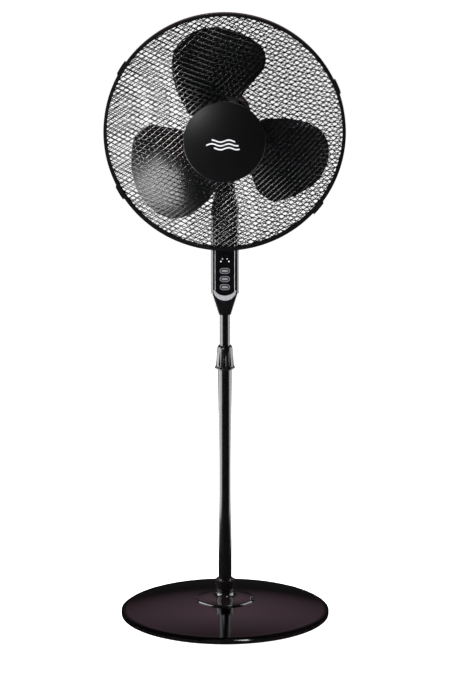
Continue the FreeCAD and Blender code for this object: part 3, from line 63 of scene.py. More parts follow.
# %% Colour and node helpers
def linear(hex_code):
    """A linear RGBA colour from an sRGB hex code such as "#30343a"."""
    parts_of_code = [int(hex_code[i:i + 2], 16) / 255 for i in (1, 3, 5)]
    return (*[c / 12.92 if c <= 0.04045 else ((c + 0.055) / 1.055) ** 2.4 for c in parts_of_code], 1.0)


def add_node(tree, kind, inputs=None, **settings):
    """Adds a node. inputs are sockets to link from, or plain values, by the input's name or number.

    A setting is an attribute of the node, or else the value of the input with that name.
    """
    made = tree.nodes.new(kind)
    for name, value in settings.items():
        if hasattr(made, name):
            setattr(made, name, value)
        else:
            made.inputs[name.replace("_", " ")].default_value = value
    for socket, source in (inputs or {}).items():
        if isinstance(source, bpy.types.NodeSocket):
            tree.links.new(source, made.inputs[socket])
        else:
            made.inputs[socket].default_value = source
    return made


MM = 0.001
print("helpers ready; mid grey is", round(linear("#808080")[0], 4))

# %% [markdown]
# ## The camera
#
# A tall product is best seen from far away through a long lens, so that the base and the head
# keep their true proportions. The camera stands about nine metres in front of the fan, nearly
# two metres above its head, and looks down at the middle of the pole.

# %% Camera
CAMERA_AIM = Vector((0.0224, 0, 0.5155))
CAMERA_DISTANCE = 9.32
CAMERA_PITCH = math.radians(14.5)
FOCAL_LENGTH, SENSOR_WIDTH = 259.9, 36  # in millimetres

lens = bpy.data.cameras.new("camera")
lens.lens = FOCAL_LENGTH
lens.sensor_width = SENSOR_WIDTH
lens.clip_end = 60
camera = bpy.data.objects.new("camera", lens)
camera.location = CAMERA_AIM + Vector((0, -math.cos(CAMERA_PITCH), math.sin(CAMERA_PITCH))) * CAMERA_DISTANCE
camera.rotation_euler = (math.pi / 2 - CAMERA_PITCH, 0, 0)
bpy.context.scene.collection.objects.link(camera)
bpy.context.scene.camera = camera
print("camera at", [round(c, 2) for c in camera.location])

# %% [markdown]
# ## Floor and backdrop
#
# The fan stands on a wide white floor under a white sky, so it can be looked at from every side
# and there is no wall in the way. The floor gives off most of its brightness itself, which keeps
# it an even white, and the rest is paint that still takes a faint shadow. Gloss black plastic
# would mirror such a bright floor all over, so the floor is hidden from glossy rays, as if black
# flags stood round the fan.

# %% White floor
FLOOR_RADIUS = 30.0
WHITE_GLOW = 0.985


def white_floor():
    """A round floor."""
    mesh = bpy.data.meshes.new("white_floor")
    shape = bmesh.new()
    bmesh.ops.create_circle(shape, cap_ends=True, segments=96, radius=FLOOR_RADIUS)
    shape.to_mesh(mesh)
    shape.free()
    made = bpy.data.objects.new("white_floor", mesh)
    bpy.context.scene.collection.objects.link(made)
    made.visible_glossy = False
    return made


floor = white_floor()
paper = bpy.data.materials.new("white_paper")
paper.use_nodes = True
paper_shader = paper.node_tree.nodes["Principled BSDF"]
paper_shader.inputs["Base Color"].default_value = linear("#f4f4f4")
paper_shader.inputs["Roughness"].default_value = 0.9
paper_shader.inputs["Emission Color"].default_value = linear("#ffffff")
paper_shader.inputs["Emission Strength"].default_value = WHITE_GLOW
floor.data.materials.append(paper)
print("floor:", [round(v, 1) for v in floor.dimensions])

# %% [markdown]
# ## Soft boxes
#
# A black gloss object shows its lights, not its colour, so each light is there for a reflection.
# Two upright soft boxes beside the fan draw the stripes down the tubes and the column's rounded
# edges. Two cards lie on the floor for the tubes' lowest part. The key box, at the front left,
# is mirrored by the blade that faces it and shades the top of the badge. A strip overhead puts
# a streak on the base's bevel. The wire box, high behind, draws fine bright lines on the guard.

# %% Soft boxes
def soft_box(name, at, aim, width, height, power):
    """A rectangular white area light at a place, turned to face a point."""
    light = bpy.data.lights.new(name, "AREA")
    light.shape = "RECTANGLE"
    light.size, light.size_y = width, height
    light.energy = power
    made = bpy.data.objects.new(name, light)
    made.location = at
    made.rotation_euler = (Vector(aim) - Vector(at)).to_track_quat("-Z", "Y").to_euler()
    made.visible_camera = False
    bpy.context.scene.collection.objects.link(made)
    return made


left_strip = soft_box("left_strip", (-0.6, -0.045, 0.39), (0, -0.045, 0.39), 0.81, 0.75, 15)
right_strip = soft_box("right_strip", (0.6, 0.15, 0.39), (0, 0.15, 0.39), 0.64, 0.75, 8)
key_box = soft_box("key_box", (-1.62, -3.0, 1.8), (0, 0, 0.9), 1.2, 1.0, 62)
soft_box("top_strip", (0.55, 0.1, 3.2), (0.1, -0.1, 0), 0.8, 0.4, 14)
wire_box = soft_box("wire_box", (-2.0, 2.4, 2.3), (0, -0.1, 0.95), 1.3, 1.3, 230)
for side in (-1, 1):
    soft_box("side_card", (0.66 * side, 0.72, 0.02), (0.66 * side, 0.72, 2), 0.7, 1.1, 14)

# %% [markdown]
# ## Flags
#
# The base is a shallow mirror, and from the back and the sides it would show the big lights as
# white patches. In a studio a black flag on a stand would stand in the way. In Blender a light
# can be linked to a collection, and a part that the collection excludes is left unlit by it.

# %% Flags that keep lights off the base
def flag(light, *names):
    """Keeps a light off some parts."""
    kept_off = bpy.data.collections.new("kept_off_" + light.name)
    for name in names:
        kept_off.objects.link(parts[name])
    for entry in kept_off.collection_objects:
        entry.light_linking.link_state = "EXCLUDE"
    light.light_linking.receiver_collection = kept_off


flag(left_strip, "base_cover")
flag(right_strip, "base_cover")
flag(key_box, "base_cover", "pole_socket")
print("flags:", [c.name for c in bpy.data.collections if c.name.startswith("kept_off_")])

# %% [markdown]
# ## A glow for the base
#
# The base's top faces up, so from the front it mirrors what stands high behind the fan. A
# soft box there would show as a patch with a hard edge. A card whose glow fades from its middle
# to its rim gives a soft sheen instead, and a spherical gradient in its material does that.

# %% Glow card behind the base
def glow_card(centre, aim, width, height, colour, middle, rim):
    """A dim card whose glow fades from its middle to its rim, seen only in reflections."""
    mesh = bpy.data.meshes.new("glow_card")
    mesh.from_pydata([(-1, -1, 0), (1, -1, 0), (1, 1, 0), (-1, 1, 0)], [], [(0, 1, 2, 3)])
    card = bpy.data.objects.new("glow_card", mesh)
    card.location = centre
    card.rotation_euler = (Vector(aim) - Vector(centre)).to_track_quat("Z", "Y").to_euler()
    card.scale = (width / 2, height / 2, 1)
    bpy.context.scene.collection.objects.link(card)
    glow = bpy.data.materials.new("glow")
    glow.use_nodes = True
    tree = glow.node_tree
    tree.nodes.clear()
    place = add_node(tree, "ShaderNodeTexCoord").outputs["Object"]
    fade = add_node(tree, "ShaderNodeTexGradient", {"Vector": place}, gradient_type="SPHERICAL")
    power = add_node(tree, "ShaderNodeMapRange", {"Value": fade.outputs["Fac"]}, To_Min=rim, To_Max=middle)
    light = add_node(tree, "ShaderNodeEmission", {"Strength": power.outputs["Result"]}, Color=linear(colour))
    add_node(tree, "ShaderNodeOutputMaterial", {"Surface": light.outputs["Emission"]})
    mesh.materials.append(glow)
    card.visible_camera = card.visible_diffuse = card.visible_shadow = False
    return card


card = glow_card((0, 3.0, 1.75), (0, 0, 0.1), 3.4, 2.6, "#f2c8dc", 0.42, 0.03)
print("glow card:", [round(v, 2) for v in card.dimensions])

# %% [markdown]
# ## The sky
#
# The sky has to be white where it is looked at, but it must not fill the blacks with haze. The
# Light Path node tells the two apart: a ray straight from the camera sees full white, and any
# other ray sees a very dim sky. Standard view keeps white at pure white.

# %% White sky
SKY_SEEN, SKY_MIRRORED = 1.0, 0.015
world = bpy.data.worlds.new("studio")
world.use_nodes = True
sky = world.node_tree.nodes["Background"]
sky.inputs["Color"].default_value = linear("#ffffff")
straight = add_node(world.node_tree, "ShaderNodeLightPath").outputs["Is Camera Ray"]
sky_power = add_node(world.node_tree, "ShaderNodeMapRange", {"Value": straight},
                     To_Min=SKY_MIRRORED, To_Max=SKY_SEEN)
world.node_tree.links.new(sky_power.outputs["Result"], sky.inputs["Strength"])
bpy.context.scene.world = world
bpy.context.scene.view_settings.view_transform = "Standard"
print("sky:", SKY_SEEN, "seen and", SKY_MIRRORED, "mirrored")

# %% [markdown]
# ## Plastics and paints
#
# Nearly everything on this fan is black, so the parts differ by surface and not by colour. An
# injection-moulded part copies its mould: a polished mould gives a mirror with a faint ripple,
# and a blasted one gives a satin skin. Stoved enamel and powder coat flow a little before they
# set, which leaves a fine orange peel. All of these can share one recipe: a tone that drifts
# between two close colours, a sheen that drifts with it, and a bump whose grain is a real size.
# The recipe is a function, because each finish is then one line of real values.

# %% A recipe for moulded and painted surfaces
def surface(name, **uniform):
    """A new material with values set on its shader's own sockets. Returns it, its tree and shader."""
    made = bpy.data.materials.new(name)
    made.use_nodes = True
    shader = made.node_tree.nodes["Principled BSDF"]
    for socket, value in uniform.items():
        shader.inputs[socket.replace("_", " ")].default_value = value
    return made, made.node_tree, shader


def grained(name, dark, light, grain, ripple, sheen, drift=40, **uniform):
    """A surface with a tone that drifts over some millimetres and a bump of one grain size.

    grain, ripple and drift are in millimetres. sheen is the lowest and highest roughness.
    """
    made, tree, shader = surface(name, **uniform)
    place = add_node(tree, "ShaderNodeTexCoord").outputs["Object"]
    cloud = add_node(tree, "ShaderNodeTexNoise", {"Vector": place}, Scale=1 / (drift * MM), Detail=4.0)
    tone = add_node(tree, "ShaderNodeValToRGB", {"Fac": cloud.outputs["Fac"]})
    tone.color_ramp.elements[0].position, tone.color_ramp.elements[1].position = 0.3, 0.7
    tone.color_ramp.elements[0].color, tone.color_ramp.elements[1].color = linear(dark), linear(light)
    gloss = add_node(tree, "ShaderNodeMapRange", {"Value": cloud.outputs["Fac"]},
                     To_Min=sheen[0], To_Max=sheen[1])
    peel = add_node(tree, "ShaderNodeTexNoise", {"Vector": place}, Scale=1 / (grain * MM), Detail=1.0)
    bump = add_node(tree, "ShaderNodeBump", {"Height": peel.outputs["Fac"]},
                    Distance=ripple * MM, Strength=1.0)
    tree.links.new(tone.outputs["Color"], shader.inputs["Base Color"])
    tree.links.new(gloss.outputs["Result"], shader.inputs["Roughness"])
    tree.links.new(bump.outputs["Normal"], shader.inputs["Normal"])
    return made


def dress(material, *names):
    """Gives mechanical parts a finish."""
    for name in names:
        slots = parts[name].data.materials
        slots.clear()
        slots.append(material)


ABS, ENAMEL = 1.53, 1.5  # indices of refraction
print("recipe ready")

# %% [markdown]
# ## The black finishes
#
# The base cover and its socket are polished ABS with a trace of violet, which shows where the
# light rakes over them. The column and the motor's cover are the same plastic from a slightly
# duller mould. So are the blades, which ripple more because they are thin. The guard's wires
# are powder coated, and the tubes are steel with a stoved enamel that is almost a mirror along
# its length. The neck, the gland and the inner guides are satin polypropylene.

# %% Black plastics and paints
base_gloss = grained("polished_abs_violet_black", "#0f0c0e", "#151113", 8, 0.002, (0.07, 0.11), IOR=ABS)
column_moulding = grained("semi_gloss_abs_black", "#08080a", "#0d0d0f", 4, 0.004, (0.12, 0.17), IOR=ABS)
satin_moulding = grained("satin_polypropylene_black", "#141416", "#1b1b1d", 0.6, 0.03, (0.38, 0.5), IOR=1.49)
blade_gloss = grained("polished_abs_black", "#08080a", "#0d0d0f", 9, 0.012, (0.14, 0.2), IOR=ABS)
tube_enamel = grained("stoved_enamel_black", "#070708", "#0b0b0c", 4, 0.006, (0.1, 0.15), IOR=ENAMEL)
powder_coat = grained("powder_coat_black", "#050506", "#080809", 2.5, 0.003, (0.14, 0.18), IOR=1.7)
band_black = grained("moulded_rim_black", "#0a0a0b", "#0f0f10", 2, 0.015, (0.22, 0.3), IOR=ABS)
foot_rubber = grained("moulded_rubber", "#141414", "#1d1c1b", 0.8, 0.06, (0.75, 0.9), IOR=1.52)
dress(base_gloss, "base_cover", "pole_socket")
dress(column_moulding, "column_front", "column_rear", "motor_cover_front", "motor_cover_rear")
dress(satin_moulding, "pole_plug", "tube_bush", "tube_guide", "cord_gland", "neck", "guard_nut",
      "column_spine", "tact_switches")
dress(blade_gloss, "blade_set", "spinner")
dress(tube_enamel, "outer_tube", "inner_tube")
dress(powder_coat, "front_guard_ring", "rear_guard_ring", "front_guard_wires", "rear_guard_wires",
      "guard_plate")
dress(band_black, "rim_band", "rim_clips")
dress(foot_rubber, "rubber_feet")
blacks = (base_gloss, column_moulding, satin_moulding, blade_gloss, tube_enamel, powder_coat,
          band_black, foot_rubber)
print("black finishes on", len([o for o in parts.values() if o.data.materials[0] in blacks]), "parts")

# %% [markdown]
# ## The twist collar
#
# The collar is gripped by hand. It is moulded in a tough plastic with a low gloss, and its
# flutes get a painted highlight: they are painted a little lighter along their crests, where
# light catches them. The Geometry node's Pointiness finds crests, but it needs a dense mesh.
# The distance from the pole's axis does the same job here, because a crest stands further
# out than a flute's floor.

# %% Collar finish
COLLAR_TOP, COLLAR_SKIRT = 13.5 * MM, 18.5 * MM  # its narrowest and widest radius
collar_black, collar_tree, collar_shader = surface("satin_grip_black", IOR=1.49, Roughness=0.22)
collar_place = add_node(collar_tree, "ShaderNodeTexCoord").outputs["Object"]
collar_split = add_node(collar_tree, "ShaderNodeSeparateXYZ", {"Vector": collar_place})
collar_flat = add_node(collar_tree, "ShaderNodeCombineXYZ",
                       {"X": collar_split.outputs["X"], "Y": collar_split.outputs["Y"]})
collar_reach = add_node(collar_tree, "ShaderNodeVectorMath", {"Vector": collar_flat.outputs["Vector"]},
                        operation="LENGTH")
# painted highlight: 0 at the flutes' floors, rising to 1 at their crests
collar_crest_highlight = add_node(collar_tree, "ShaderNodeMapRange", {"Value": collar_reach.outputs["Value"]},
                       From_Min=COLLAR_TOP, From_Max=COLLAR_SKIRT)
collar_highlight_tone = add_node(collar_tree, "ShaderNodeValToRGB", {"Fac": collar_crest_highlight.outputs["Result"]})
# dark flute floors, and crests painted lighter as a highlight
collar_highlight_tone.color_ramp.elements[0].color = linear("#060607")
collar_highlight_tone.color_ramp.elements[1].color = linear("#121214")
collar_grain = add_node(collar_tree, "ShaderNodeTexNoise", {"Vector": collar_place}, Scale=1 / (0.7 * MM))
collar_bump = add_node(collar_tree, "ShaderNodeBump", {"Height": collar_grain.outputs["Fac"]},
                       Distance=0.03 * MM)
collar_tree.links.new(collar_highlight_tone.outputs["Color"], collar_shader.inputs["Base Color"])
collar_tree.links.new(collar_bump.outputs["Normal"], collar_shader.inputs["Normal"])
dress(collar_black, "height_collar")
print("collar:", len(parts["height_collar"].data.polygons), "faces")

# %% [markdown]
# ## The control panel
#
# The panel is a piano-black strip let into the column, with a silver lip below it, four small
# lamps and three keys. Down both of its edges, where it meets the column, a bright line is a
# painted highlight that stands in for the light the panel's edge catches. The line is too
# thin to be worth a mesh, so the material paints it wherever the panel is near its own edge,
# and the frame knows where that is.

# %% Panel, lip, lamps and window
panel_gloss = grained("piano_black_abs", "#060607", "#0a0a0c", 12, 0.004, (0.06, 0.1), IOR=ABS)
silver_trim = grained("silver_lacquer", "#c0c0c4", "#d8d8dc", 0.4, 0.004, (0.3, 0.4), drift=3, Metallic=0.6)
window_tint = grained("infrared_window", "#12060a", "#1c080e", 5, 0.002, (0.05, 0.08), IOR=1.49)
panel_tree = panel_gloss.node_tree
panel_shader = panel_tree.nodes["Principled BSDF"]
panel_split = add_node(panel_tree, "ShaderNodeSeparateXYZ",
                       {"Vector": add_node(panel_tree, "ShaderNodeTexCoord").outputs["Object"]})
panel_side = add_node(panel_tree, "ShaderNodeMath", {0: panel_split.outputs["X"]}, operation="ABSOLUTE")
# the width of the painted highlight line along the panel's side edges
EDGE_HIGHLIGHT_WIDTH = 0.8 * MM
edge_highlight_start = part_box("control_panel")[1][0] - EDGE_HIGHLIGHT_WIDTH
# painted highlight mask: 1 within that width of the panel's side edges, 0 elsewhere
edge_highlight_mask = add_node(panel_tree, "ShaderNodeMath", {0: panel_side.outputs["Value"], 1: edge_highlight_start},
                      operation="GREATER_THAN")
# the panel's own black, and light grey for the painted edge highlight
panel_black_and_highlight = add_node(panel_tree, "ShaderNodeValToRGB", {"Fac": edge_highlight_mask.outputs["Value"]})
panel_black_and_highlight.color_ramp.elements[0].color = linear("#08080a")
panel_black_and_highlight.color_ramp.elements[1].color = linear("#b8b8bc")
panel_tree.links.new(panel_black_and_highlight.outputs["Color"], panel_shader.inputs["Base Color"])
dress(panel_gloss, "control_panel")
dress(silver_trim, "panel_lip")
dress(window_tint, "receiver_window")
# where the painted edge highlight begins
print("foil line from", round(edge_highlight_start, 4), "outwards")

# %% [markdown]
# ## The lamps
#
# Four small lamps sit in an arch, behind lenses of frosted acrylic. The lower two are a little
# brighter. One material does for all four: it takes its tone from the height, between the
# lowest and highest corners that the frame gives for them, and it glows faintly.

# %% Lamp lenses
led_lens, led_tree, led_shader = surface("frosted_acrylic_lens", IOR=1.49, Roughness=0.25,
                                         Emission_Strength=0.25)
led_place = add_node(led_tree, "ShaderNodeTexCoord").outputs["Object"]
led_split = add_node(led_tree, "ShaderNodeSeparateXYZ", {"Vector": led_place})
led_low, led_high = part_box("indicator_leds")
led_height = add_node(led_tree, "ShaderNodeMapRange", {"Value": led_split.outputs["Z"]},
                      From_Min=led_low[2], From_Max=led_high[2])
led_tone = add_node(led_tree, "ShaderNodeValToRGB", {"Fac": led_height.outputs["Result"]})
led_tone.color_ramp.elements[0].position, led_tone.color_ramp.elements[1].position = 0.3, 0.6
led_tone.color_ramp.elements[0].color = linear("#dfe4e8")
led_tone.color_ramp.elements[1].color = linear("#a8acb0")
led_tree.links.new(led_tone.outputs["Color"], led_shader.inputs["Base Color"])
led_tree.links.new(led_tone.outputs["Color"], led_shader.inputs["Emission Color"])
dress(led_lens, "indicator_leds")
print("lamps from", round(led_low[2], 4), "to", round(led_high[2], 4))

# %% [markdown]
# ## The keys
#
# Each key is moulded in dark grey, with a light ring printed near its edge and a small light
# bar in its middle. A key's outline is a stadium, which is the set of points at one distance
# from a short level line. So the distance from that line, run through a colour ramp, draws the
# ring and the bar. The frame gives the key's middle. Nothing is lettered.

# %% Keys with a printed ring and bar
KEY_LINE = 3.8 * MM  # half the length of the stadium's line
KEY_REACH = 6 * MM  # the distance from that line at the end of the ramp


def key_finish(node):
    """A dark grey key with a light ring near its edge and a small light bar in the middle."""
    made, tree, shader = surface("printed_key_" + node, IOR=1.5, Roughness=0.35)
    low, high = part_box(node)
    middle = [(a + b) / 2 for a, b in zip(low, high)]
    place = add_node(tree, "ShaderNodeTexCoord").outputs["Object"]
    moved = add_node(tree, "ShaderNodeVectorMath", {0: place, 1: middle}, operation="SUBTRACT")
    split = add_node(tree, "ShaderNodeSeparateXYZ", {"Vector": moved.outputs["Vector"]})
    side = add_node(tree, "ShaderNodeMath", {0: split.outputs["X"]}, operation="ABSOLUTE")
    beyond = add_node(tree, "ShaderNodeMath", {0: side.outputs["Value"], 1: KEY_LINE}, operation="SUBTRACT")
    past = add_node(tree, "ShaderNodeMath", {0: beyond.outputs["Value"], 1: 0.0}, operation="MAXIMUM")
    spot = add_node(tree, "ShaderNodeCombineXYZ", {"X": past.outputs["Value"], "Y": split.outputs["Z"]})
    reach = add_node(tree, "ShaderNodeVectorMath", {"Vector": spot.outputs["Vector"]}, operation="LENGTH")
    span = add_node(tree, "ShaderNodeMapRange", {"Value": reach.outputs["Value"]},
                    From_Min=0.0, From_Max=KEY_REACH)
    ring = add_node(tree, "ShaderNodeValToRGB", {"Fac": span.outputs["Result"]})
    stops = ring.color_ramp.elements
    stops[0].position, stops[0].color = 0.0, linear("#98989c")
    stops[1].position, stops[1].color = 1.0, linear("#303034")
    for position, tone in ((0.2, "#8c8c90"), (0.28, "#2a2a2e"), (0.7, "#242428"), (0.76, "#7c7c81"),
                           (0.84, "#7c7c81"), (0.92, "#303034")):
        stop = stops.new(position)
        stop.color = linear(tone)
    grain = add_node(tree, "ShaderNodeTexNoise", {"Vector": place}, Scale=1 / (0.5 * MM))
    bump = add_node(tree, "ShaderNodeBump", {"Height": grain.outputs["Fac"]}, Distance=0.015 * MM)
    tree.links.new(ring.outputs["Color"], shader.inputs["Base Color"])
    tree.links.new(bump.outputs["Normal"], shader.inputs["Normal"])
    return made


for key in ("speed_button", "timer_button", "power_button"):
    dress(key_finish(key), key)

# %% [markdown]
# ## Metals
#
# Most of the metal is hidden, but the fan is also shown open. Zinc plate is bright with a faint
# crystal pattern. The die-cast parts are grey with a sandy skin, the laminated cores show their
# sheets edge on, and the windings show their wires. A metal's colour is its reflection, so these
# use the shader's metallic side, and their grain is a real size where it can be seen. The swing
# crank is acetal and the circuit board is under its green mask, and both use the same recipe.

# %% Plain metals
zinc_steel = grained("zinc_plated_steel", "#9c9ea2", "#c3c5c8", 0.5, 0.006, (0.25, 0.4),
                     drift=2, Metallic=1.0)
cast_metal = grained("die_cast_aluminium", "#8e8f91", "#a9aaac", 0.4, 0.05, (0.42, 0.58),
                     drift=6, Metallic=1.0)
cast_iron = grained("cast_iron", "#3a3836", "#4b4845", 0.9, 0.12, (0.6, 0.8), drift=8, Metallic=0.9)
motor_can = grained("pressed_steel_can", "#8d8e8c", "#b0b1ae", 0.3, 0.01, (0.3, 0.42), drift=3, Metallic=1.0)
bush_bronze = grained("sintered_bronze", "#8a6a3a", "#a78448", 0.2, 0.02, (0.4, 0.55), drift=1, Metallic=1.0)
crank_acetal = grained("natural_acetal", "#dedbd2", "#eae8e1", 0.4, 0.01, (0.35, 0.45), drift=5, IOR=1.48)
board_green = grained("solder_mask_green", "#12402a", "#1b5638", 0.6, 0.01, (0.25, 0.4), drift=3, IOR=1.5)
dress(zinc_steel, "base_plate", "pole_bolt", "boss_screw", "column_screws", "clamp_screw", "tilt_bolt",
      "tilt_nut", "pivot_screw", "through_bolts", "drive_pin", "badge_screw", "swing_pin", "rim_rivet")
dress(cast_metal, "head_bracket", "motor_front_shield", "motor_rear_shield")
dress(cast_iron, "base_weight")
dress(motor_can, "swing_motor")
dress(bush_bronze, "bearing_bushes")
dress(crank_acetal, "swing_crank")
dress(board_green, "control_board")
metals = (zinc_steel, cast_metal, cast_iron, motor_can, bush_bronze)
print("metals:", [m.name for m in metals])

# %% [markdown]
# ## Stacked, wound and ground
#
# The motor's cores are thin sheets stacked along the shaft, its windings are enamelled copper
# wire, and its shaft is ground. All three are fine lines across one axis, which a Wave texture
# draws, as colour and as bump.

# %% Laminated cores, windings and shaft
def banded(name, dark, light, pitch, axis, depth, **uniform):
    """A surface made of fine parallel bands across one axis, such as stacked sheets or wound wire."""
    made, tree, shader = surface(name, **uniform)
    place = add_node(tree, "ShaderNodeTexCoord").outputs["Object"]
    # one wave in the texture is 2 pi / 20 long at scale 1
    bands = add_node(tree, "ShaderNodeTexWave", {"Vector": place}, wave_type="BANDS", bands_direction=axis,
                     Scale=math.tau / 20 / (pitch * MM), Distortion=0.4)
    tone = add_node(tree, "ShaderNodeValToRGB", {"Fac": bands.outputs["Fac"]})
    tone.color_ramp.elements[0].color, tone.color_ramp.elements[1].color = linear(dark), linear(light)
    bump = add_node(tree, "ShaderNodeBump", {"Height": bands.outputs["Fac"]}, Distance=depth * MM)
    tree.links.new(tone.outputs["Color"], shader.inputs["Base Color"])
    tree.links.new(bump.outputs["Normal"], shader.inputs["Normal"])
    return made


# real laminations are 0.5 mm thick, and are drawn at 1 mm so that they show
dress(banded("stacked_core_sheet", "#4c4e52", "#7d7f83", 1.0, "Y", 0.1, Metallic=0.9, Roughness=0.45),
      "stator_core", "rotor_core")
dress(banded("enamelled_copper_wire", "#7a3a1c", "#b8683a", 1.2, "Y", 0.3, Metallic=0.9, Roughness=0.3),
      "stator_windings")
dress(banded("ground_steel", "#a6a8ab", "#c8cacd", 0.6, "Y", 0.004, Metallic=1.0, Roughness=0.18),
      "motor_shaft")
bare = sorted(n for n, o in parts.items() if not o.data.materials or not o.data.materials[0])
print("parts with no finish of their own:", bare)

# %% [markdown]
# ## The wire guard
#
# Each half of the guard is a shallow dish of round wires. The wires lie in two layers that cross
# at an angle and are welded where they touch, and their ends are welded to a ring. A texture of
# lines on a dish would look flat, and would let no light through, so each wire is made as a
# curve with a round bevel. A wire lies in a plane parallel to the fan's axis, which cuts the
# dish in an arc, so its points come from the dish's radius and the plane's offset. The second
# layer lies just behind the first.

# %% Guard sizes
HEAD_HEIGHT = 946 * MM
WIRE_RADIUS = 0.9 * MM
WIRE_REACH = 214.7 * MM  # from the axis to a wire's end, which is inside the ring's own wire
RIM_PLANE_Y = -100 * MM  # where the two halves meet
RING_STEP = 2.6 * MM  # from that plane to each half's ring
LAYER_STEP = 2 * WIRE_RADIUS + 0.05 * MM
MESH_EDGE = 213.6 * MM  # the dish's radius in its ring's plane
LAYER_TURN = 30  # degrees either side of the lean
WIRE_STEP = 14 * MM  # about as far as a wire's points are apart


# %% Wires on a dish
def dish_wires(name, material, forward, ring_y, depth, pitch, lean, hole):
    """One half of the guard: two layers of wires on a dish, as one curve object.

    forward is -1 for the front dish and 1 for the rear one. lean is the angle midway between
    the two layers, in degrees, and no wire is nearer the axis than the hole.
    """
    radius = (MESH_EDGE**2 + depth**2) / (2 * depth)
    middle_y = ring_y - forward * (radius - depth)
    curve = bpy.data.curves.new(name, "CURVE")
    curve.dimensions = "3D"
    curve.bevel_depth = WIRE_RADIUS
    curve.bevel_resolution = 1
    curve.use_fill_caps = True
    for layer, turn in enumerate((1, -1)):
        reach = radius + forward * layer * LAYER_STEP
        aim = math.radians(lean + turn * LAYER_TURN)
        along = Vector((math.cos(aim), 0, math.sin(aim)))
        across = Vector((-math.sin(aim), 0, math.cos(aim)))
        for k in range(int(WIRE_REACH / pitch)):
            off = pitch * (k + 0.5)
            end = math.sqrt(WIRE_REACH**2 - off**2)
            if end < pitch:
                continue
            runs = [(-end, end)]
            if off < hole:
                start = math.sqrt(hole**2 - off**2)
                runs = [(start, end), (-end, -start)]
            for side in (1, -1):
                for first, last in runs:
                    count = max(4, int((last - first) / WIRE_STEP))
                    spline = curve.splines.new("POLY")
                    spline.points.add(count)
                    for i in range(count + 1):
                        step = first + (last - first) * i / count
                        rise = math.sqrt(reach**2 - off**2 - step**2)
                        point = across * (off * side) + along * step
                        spline.points[i].co = (point.x, middle_y + forward * rise, HEAD_HEIGHT + point.z, 1)
    curve.materials.append(material)
    made = bpy.data.objects.new(name, curve)
    bpy.context.scene.collection.objects.link(made)
    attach(made, "head")
    return made


FRONT = {"depth": 86 * MM, "pitch": 8.2 * MM, "lean": 13, "hole": 0}
REAR = {"depth": 76 * MM, "pitch": 7.6 * MM, "lean": -4, "hole": 50.3 * MM}
front_wires = dish_wires("front_wire_dish", powder_coat, -1, RIM_PLANE_Y - RING_STEP, **FRONT)
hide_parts("front_guard_wires")
rear_wires = dish_wires("rear_wire_dish", powder_coat, 1, RIM_PLANE_Y + RING_STEP, **REAR)
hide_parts("rear_guard_wires")
# the wire box lights the guard's wires and nothing else
guard_only = bpy.data.collections.new("lit_by_wire_box")
guard_only.objects.link(front_wires)
guard_only.objects.link(rear_wires)
wire_box.light_linking.receiver_collection = guard_only
print("wires:", len(front_wires.data.splines), "in front,", len(rear_wires.data.splines), "behind")

# %% [markdown]
# ## The badge
#
# The badge is a shallow moulded dish with a fine satin texture and a soft printed mark. The mark
# here is three plain strokes of moving air, in white. Print has no thickness worth modelling, so
# it is drawn in the material: each stroke is the set of points whose height is near a sine wave,
# between two ends.

# %% Badge with printed air strokes
STROKES = ((7.5, -2, 21), (0.5, -4, 29), (-6.5, 4, 23))  # height, middle and half length of each, in mm
MARK_DROP = 4 * MM  # the mark's middle below the badge's
STROKE_HALF = 1.35 * MM
WAVE_LENGTH, WAVE_HEIGHT = 30 * MM, 1.9 * MM

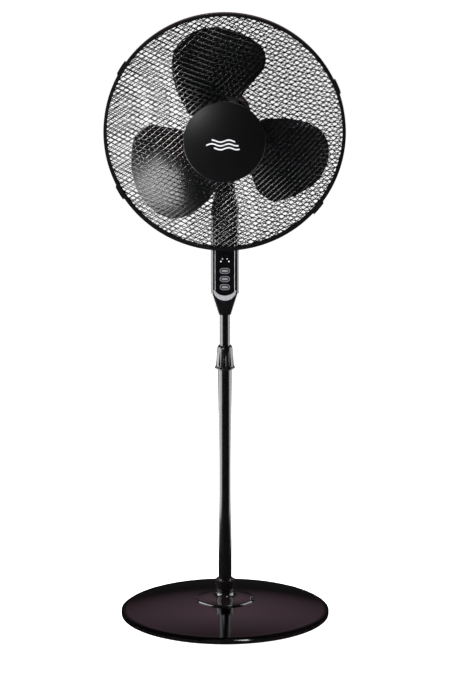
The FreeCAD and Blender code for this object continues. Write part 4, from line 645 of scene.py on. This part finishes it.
badge_satin, badge_tree, badge_shader = surface("satin_abs_badge", IOR=ABS, Specular_IOR_Level=0.3)
badge_place = add_node(badge_tree, "ShaderNodeTexCoord").outputs["Object"]
badge_split = add_node(badge_tree, "ShaderNodeSeparateXYZ", {"Vector": badge_place})
across, up = badge_split.outputs["X"], badge_split.outputs["Z"]
phase = add_node(badge_tree, "ShaderNodeMath", {0: across, 1: math.tau / WAVE_LENGTH}, operation="MULTIPLY")
sine = add_node(badge_tree, "ShaderNodeMath", {0: phase.outputs["Value"]}, operation="SINE")
wave = add_node(badge_tree, "ShaderNodeMath", {0: sine.outputs["Value"], 1: WAVE_HEIGHT},
                operation="MULTIPLY")
mask = 0.0
for stroke_height, stroke_middle, stroke_half in STROKES:
    line = HEAD_HEIGHT - MARK_DROP + stroke_height * MM
    level = add_node(badge_tree, "ShaderNodeMath", {0: up, 1: line}, operation="SUBTRACT")
    gap = add_node(badge_tree, "ShaderNodeMath", {0: level.outputs["Value"], 1: wave.outputs["Value"]},
                   operation="SUBTRACT")
    away = add_node(badge_tree, "ShaderNodeMath", {0: gap.outputs["Value"]}, operation="ABSOLUTE")
    inside = add_node(badge_tree, "ShaderNodeMath", {0: away.outputs["Value"], 1: STROKE_HALF},
                      operation="LESS_THAN")
    shift = add_node(badge_tree, "ShaderNodeMath", {0: across, 1: stroke_middle * MM}, operation="SUBTRACT")
    along = add_node(badge_tree, "ShaderNodeMath", {0: shift.outputs["Value"]}, operation="ABSOLUTE")
    near = add_node(badge_tree, "ShaderNodeMath", {0: along.outputs["Value"], 1: stroke_half * MM},
                    operation="LESS_THAN")
    stroke = add_node(badge_tree, "ShaderNodeMath", {0: inside.outputs["Value"], 1: near.outputs["Value"]},
                      operation="MULTIPLY")
    mask = add_node(badge_tree, "ShaderNodeMath", {0: mask, 1: stroke.outputs["Value"]},
                    operation="MAXIMUM").outputs["Value"]
badge_tone = add_node(badge_tree, "ShaderNodeValToRGB", {"Fac": mask})
badge_tone.color_ramp.elements[0].color = linear("#0a0a0c")
badge_tone.color_ramp.elements[1].color = linear("#e9e9ec")
print("badge print:", len(STROKES), "strokes in", len(badge_tree.nodes), "nodes")

# %% Badge skin
badge_grain = add_node(badge_tree, "ShaderNodeTexNoise", {"Vector": badge_place},
                       Scale=1 / (0.8 * MM), Detail=2.0)
badge_sheen = add_node(badge_tree, "ShaderNodeMapRange", {"Value": badge_grain.outputs["Fac"]},
                       To_Min=0.3, To_Max=0.36)
badge_bump = add_node(badge_tree, "ShaderNodeBump", {"Height": badge_grain.outputs["Fac"]},
                      Distance=0.02 * MM)
badge_tree.links.new(badge_tone.outputs["Color"], badge_shader.inputs["Base Color"])
badge_tree.links.new(badge_sheen.outputs["Result"], badge_shader.inputs["Roughness"])
badge_tree.links.new(badge_bump.outputs["Normal"], badge_shader.inputs["Normal"])
dress(badge_satin, "badge")
print("badge finish:", badge_satin.name)
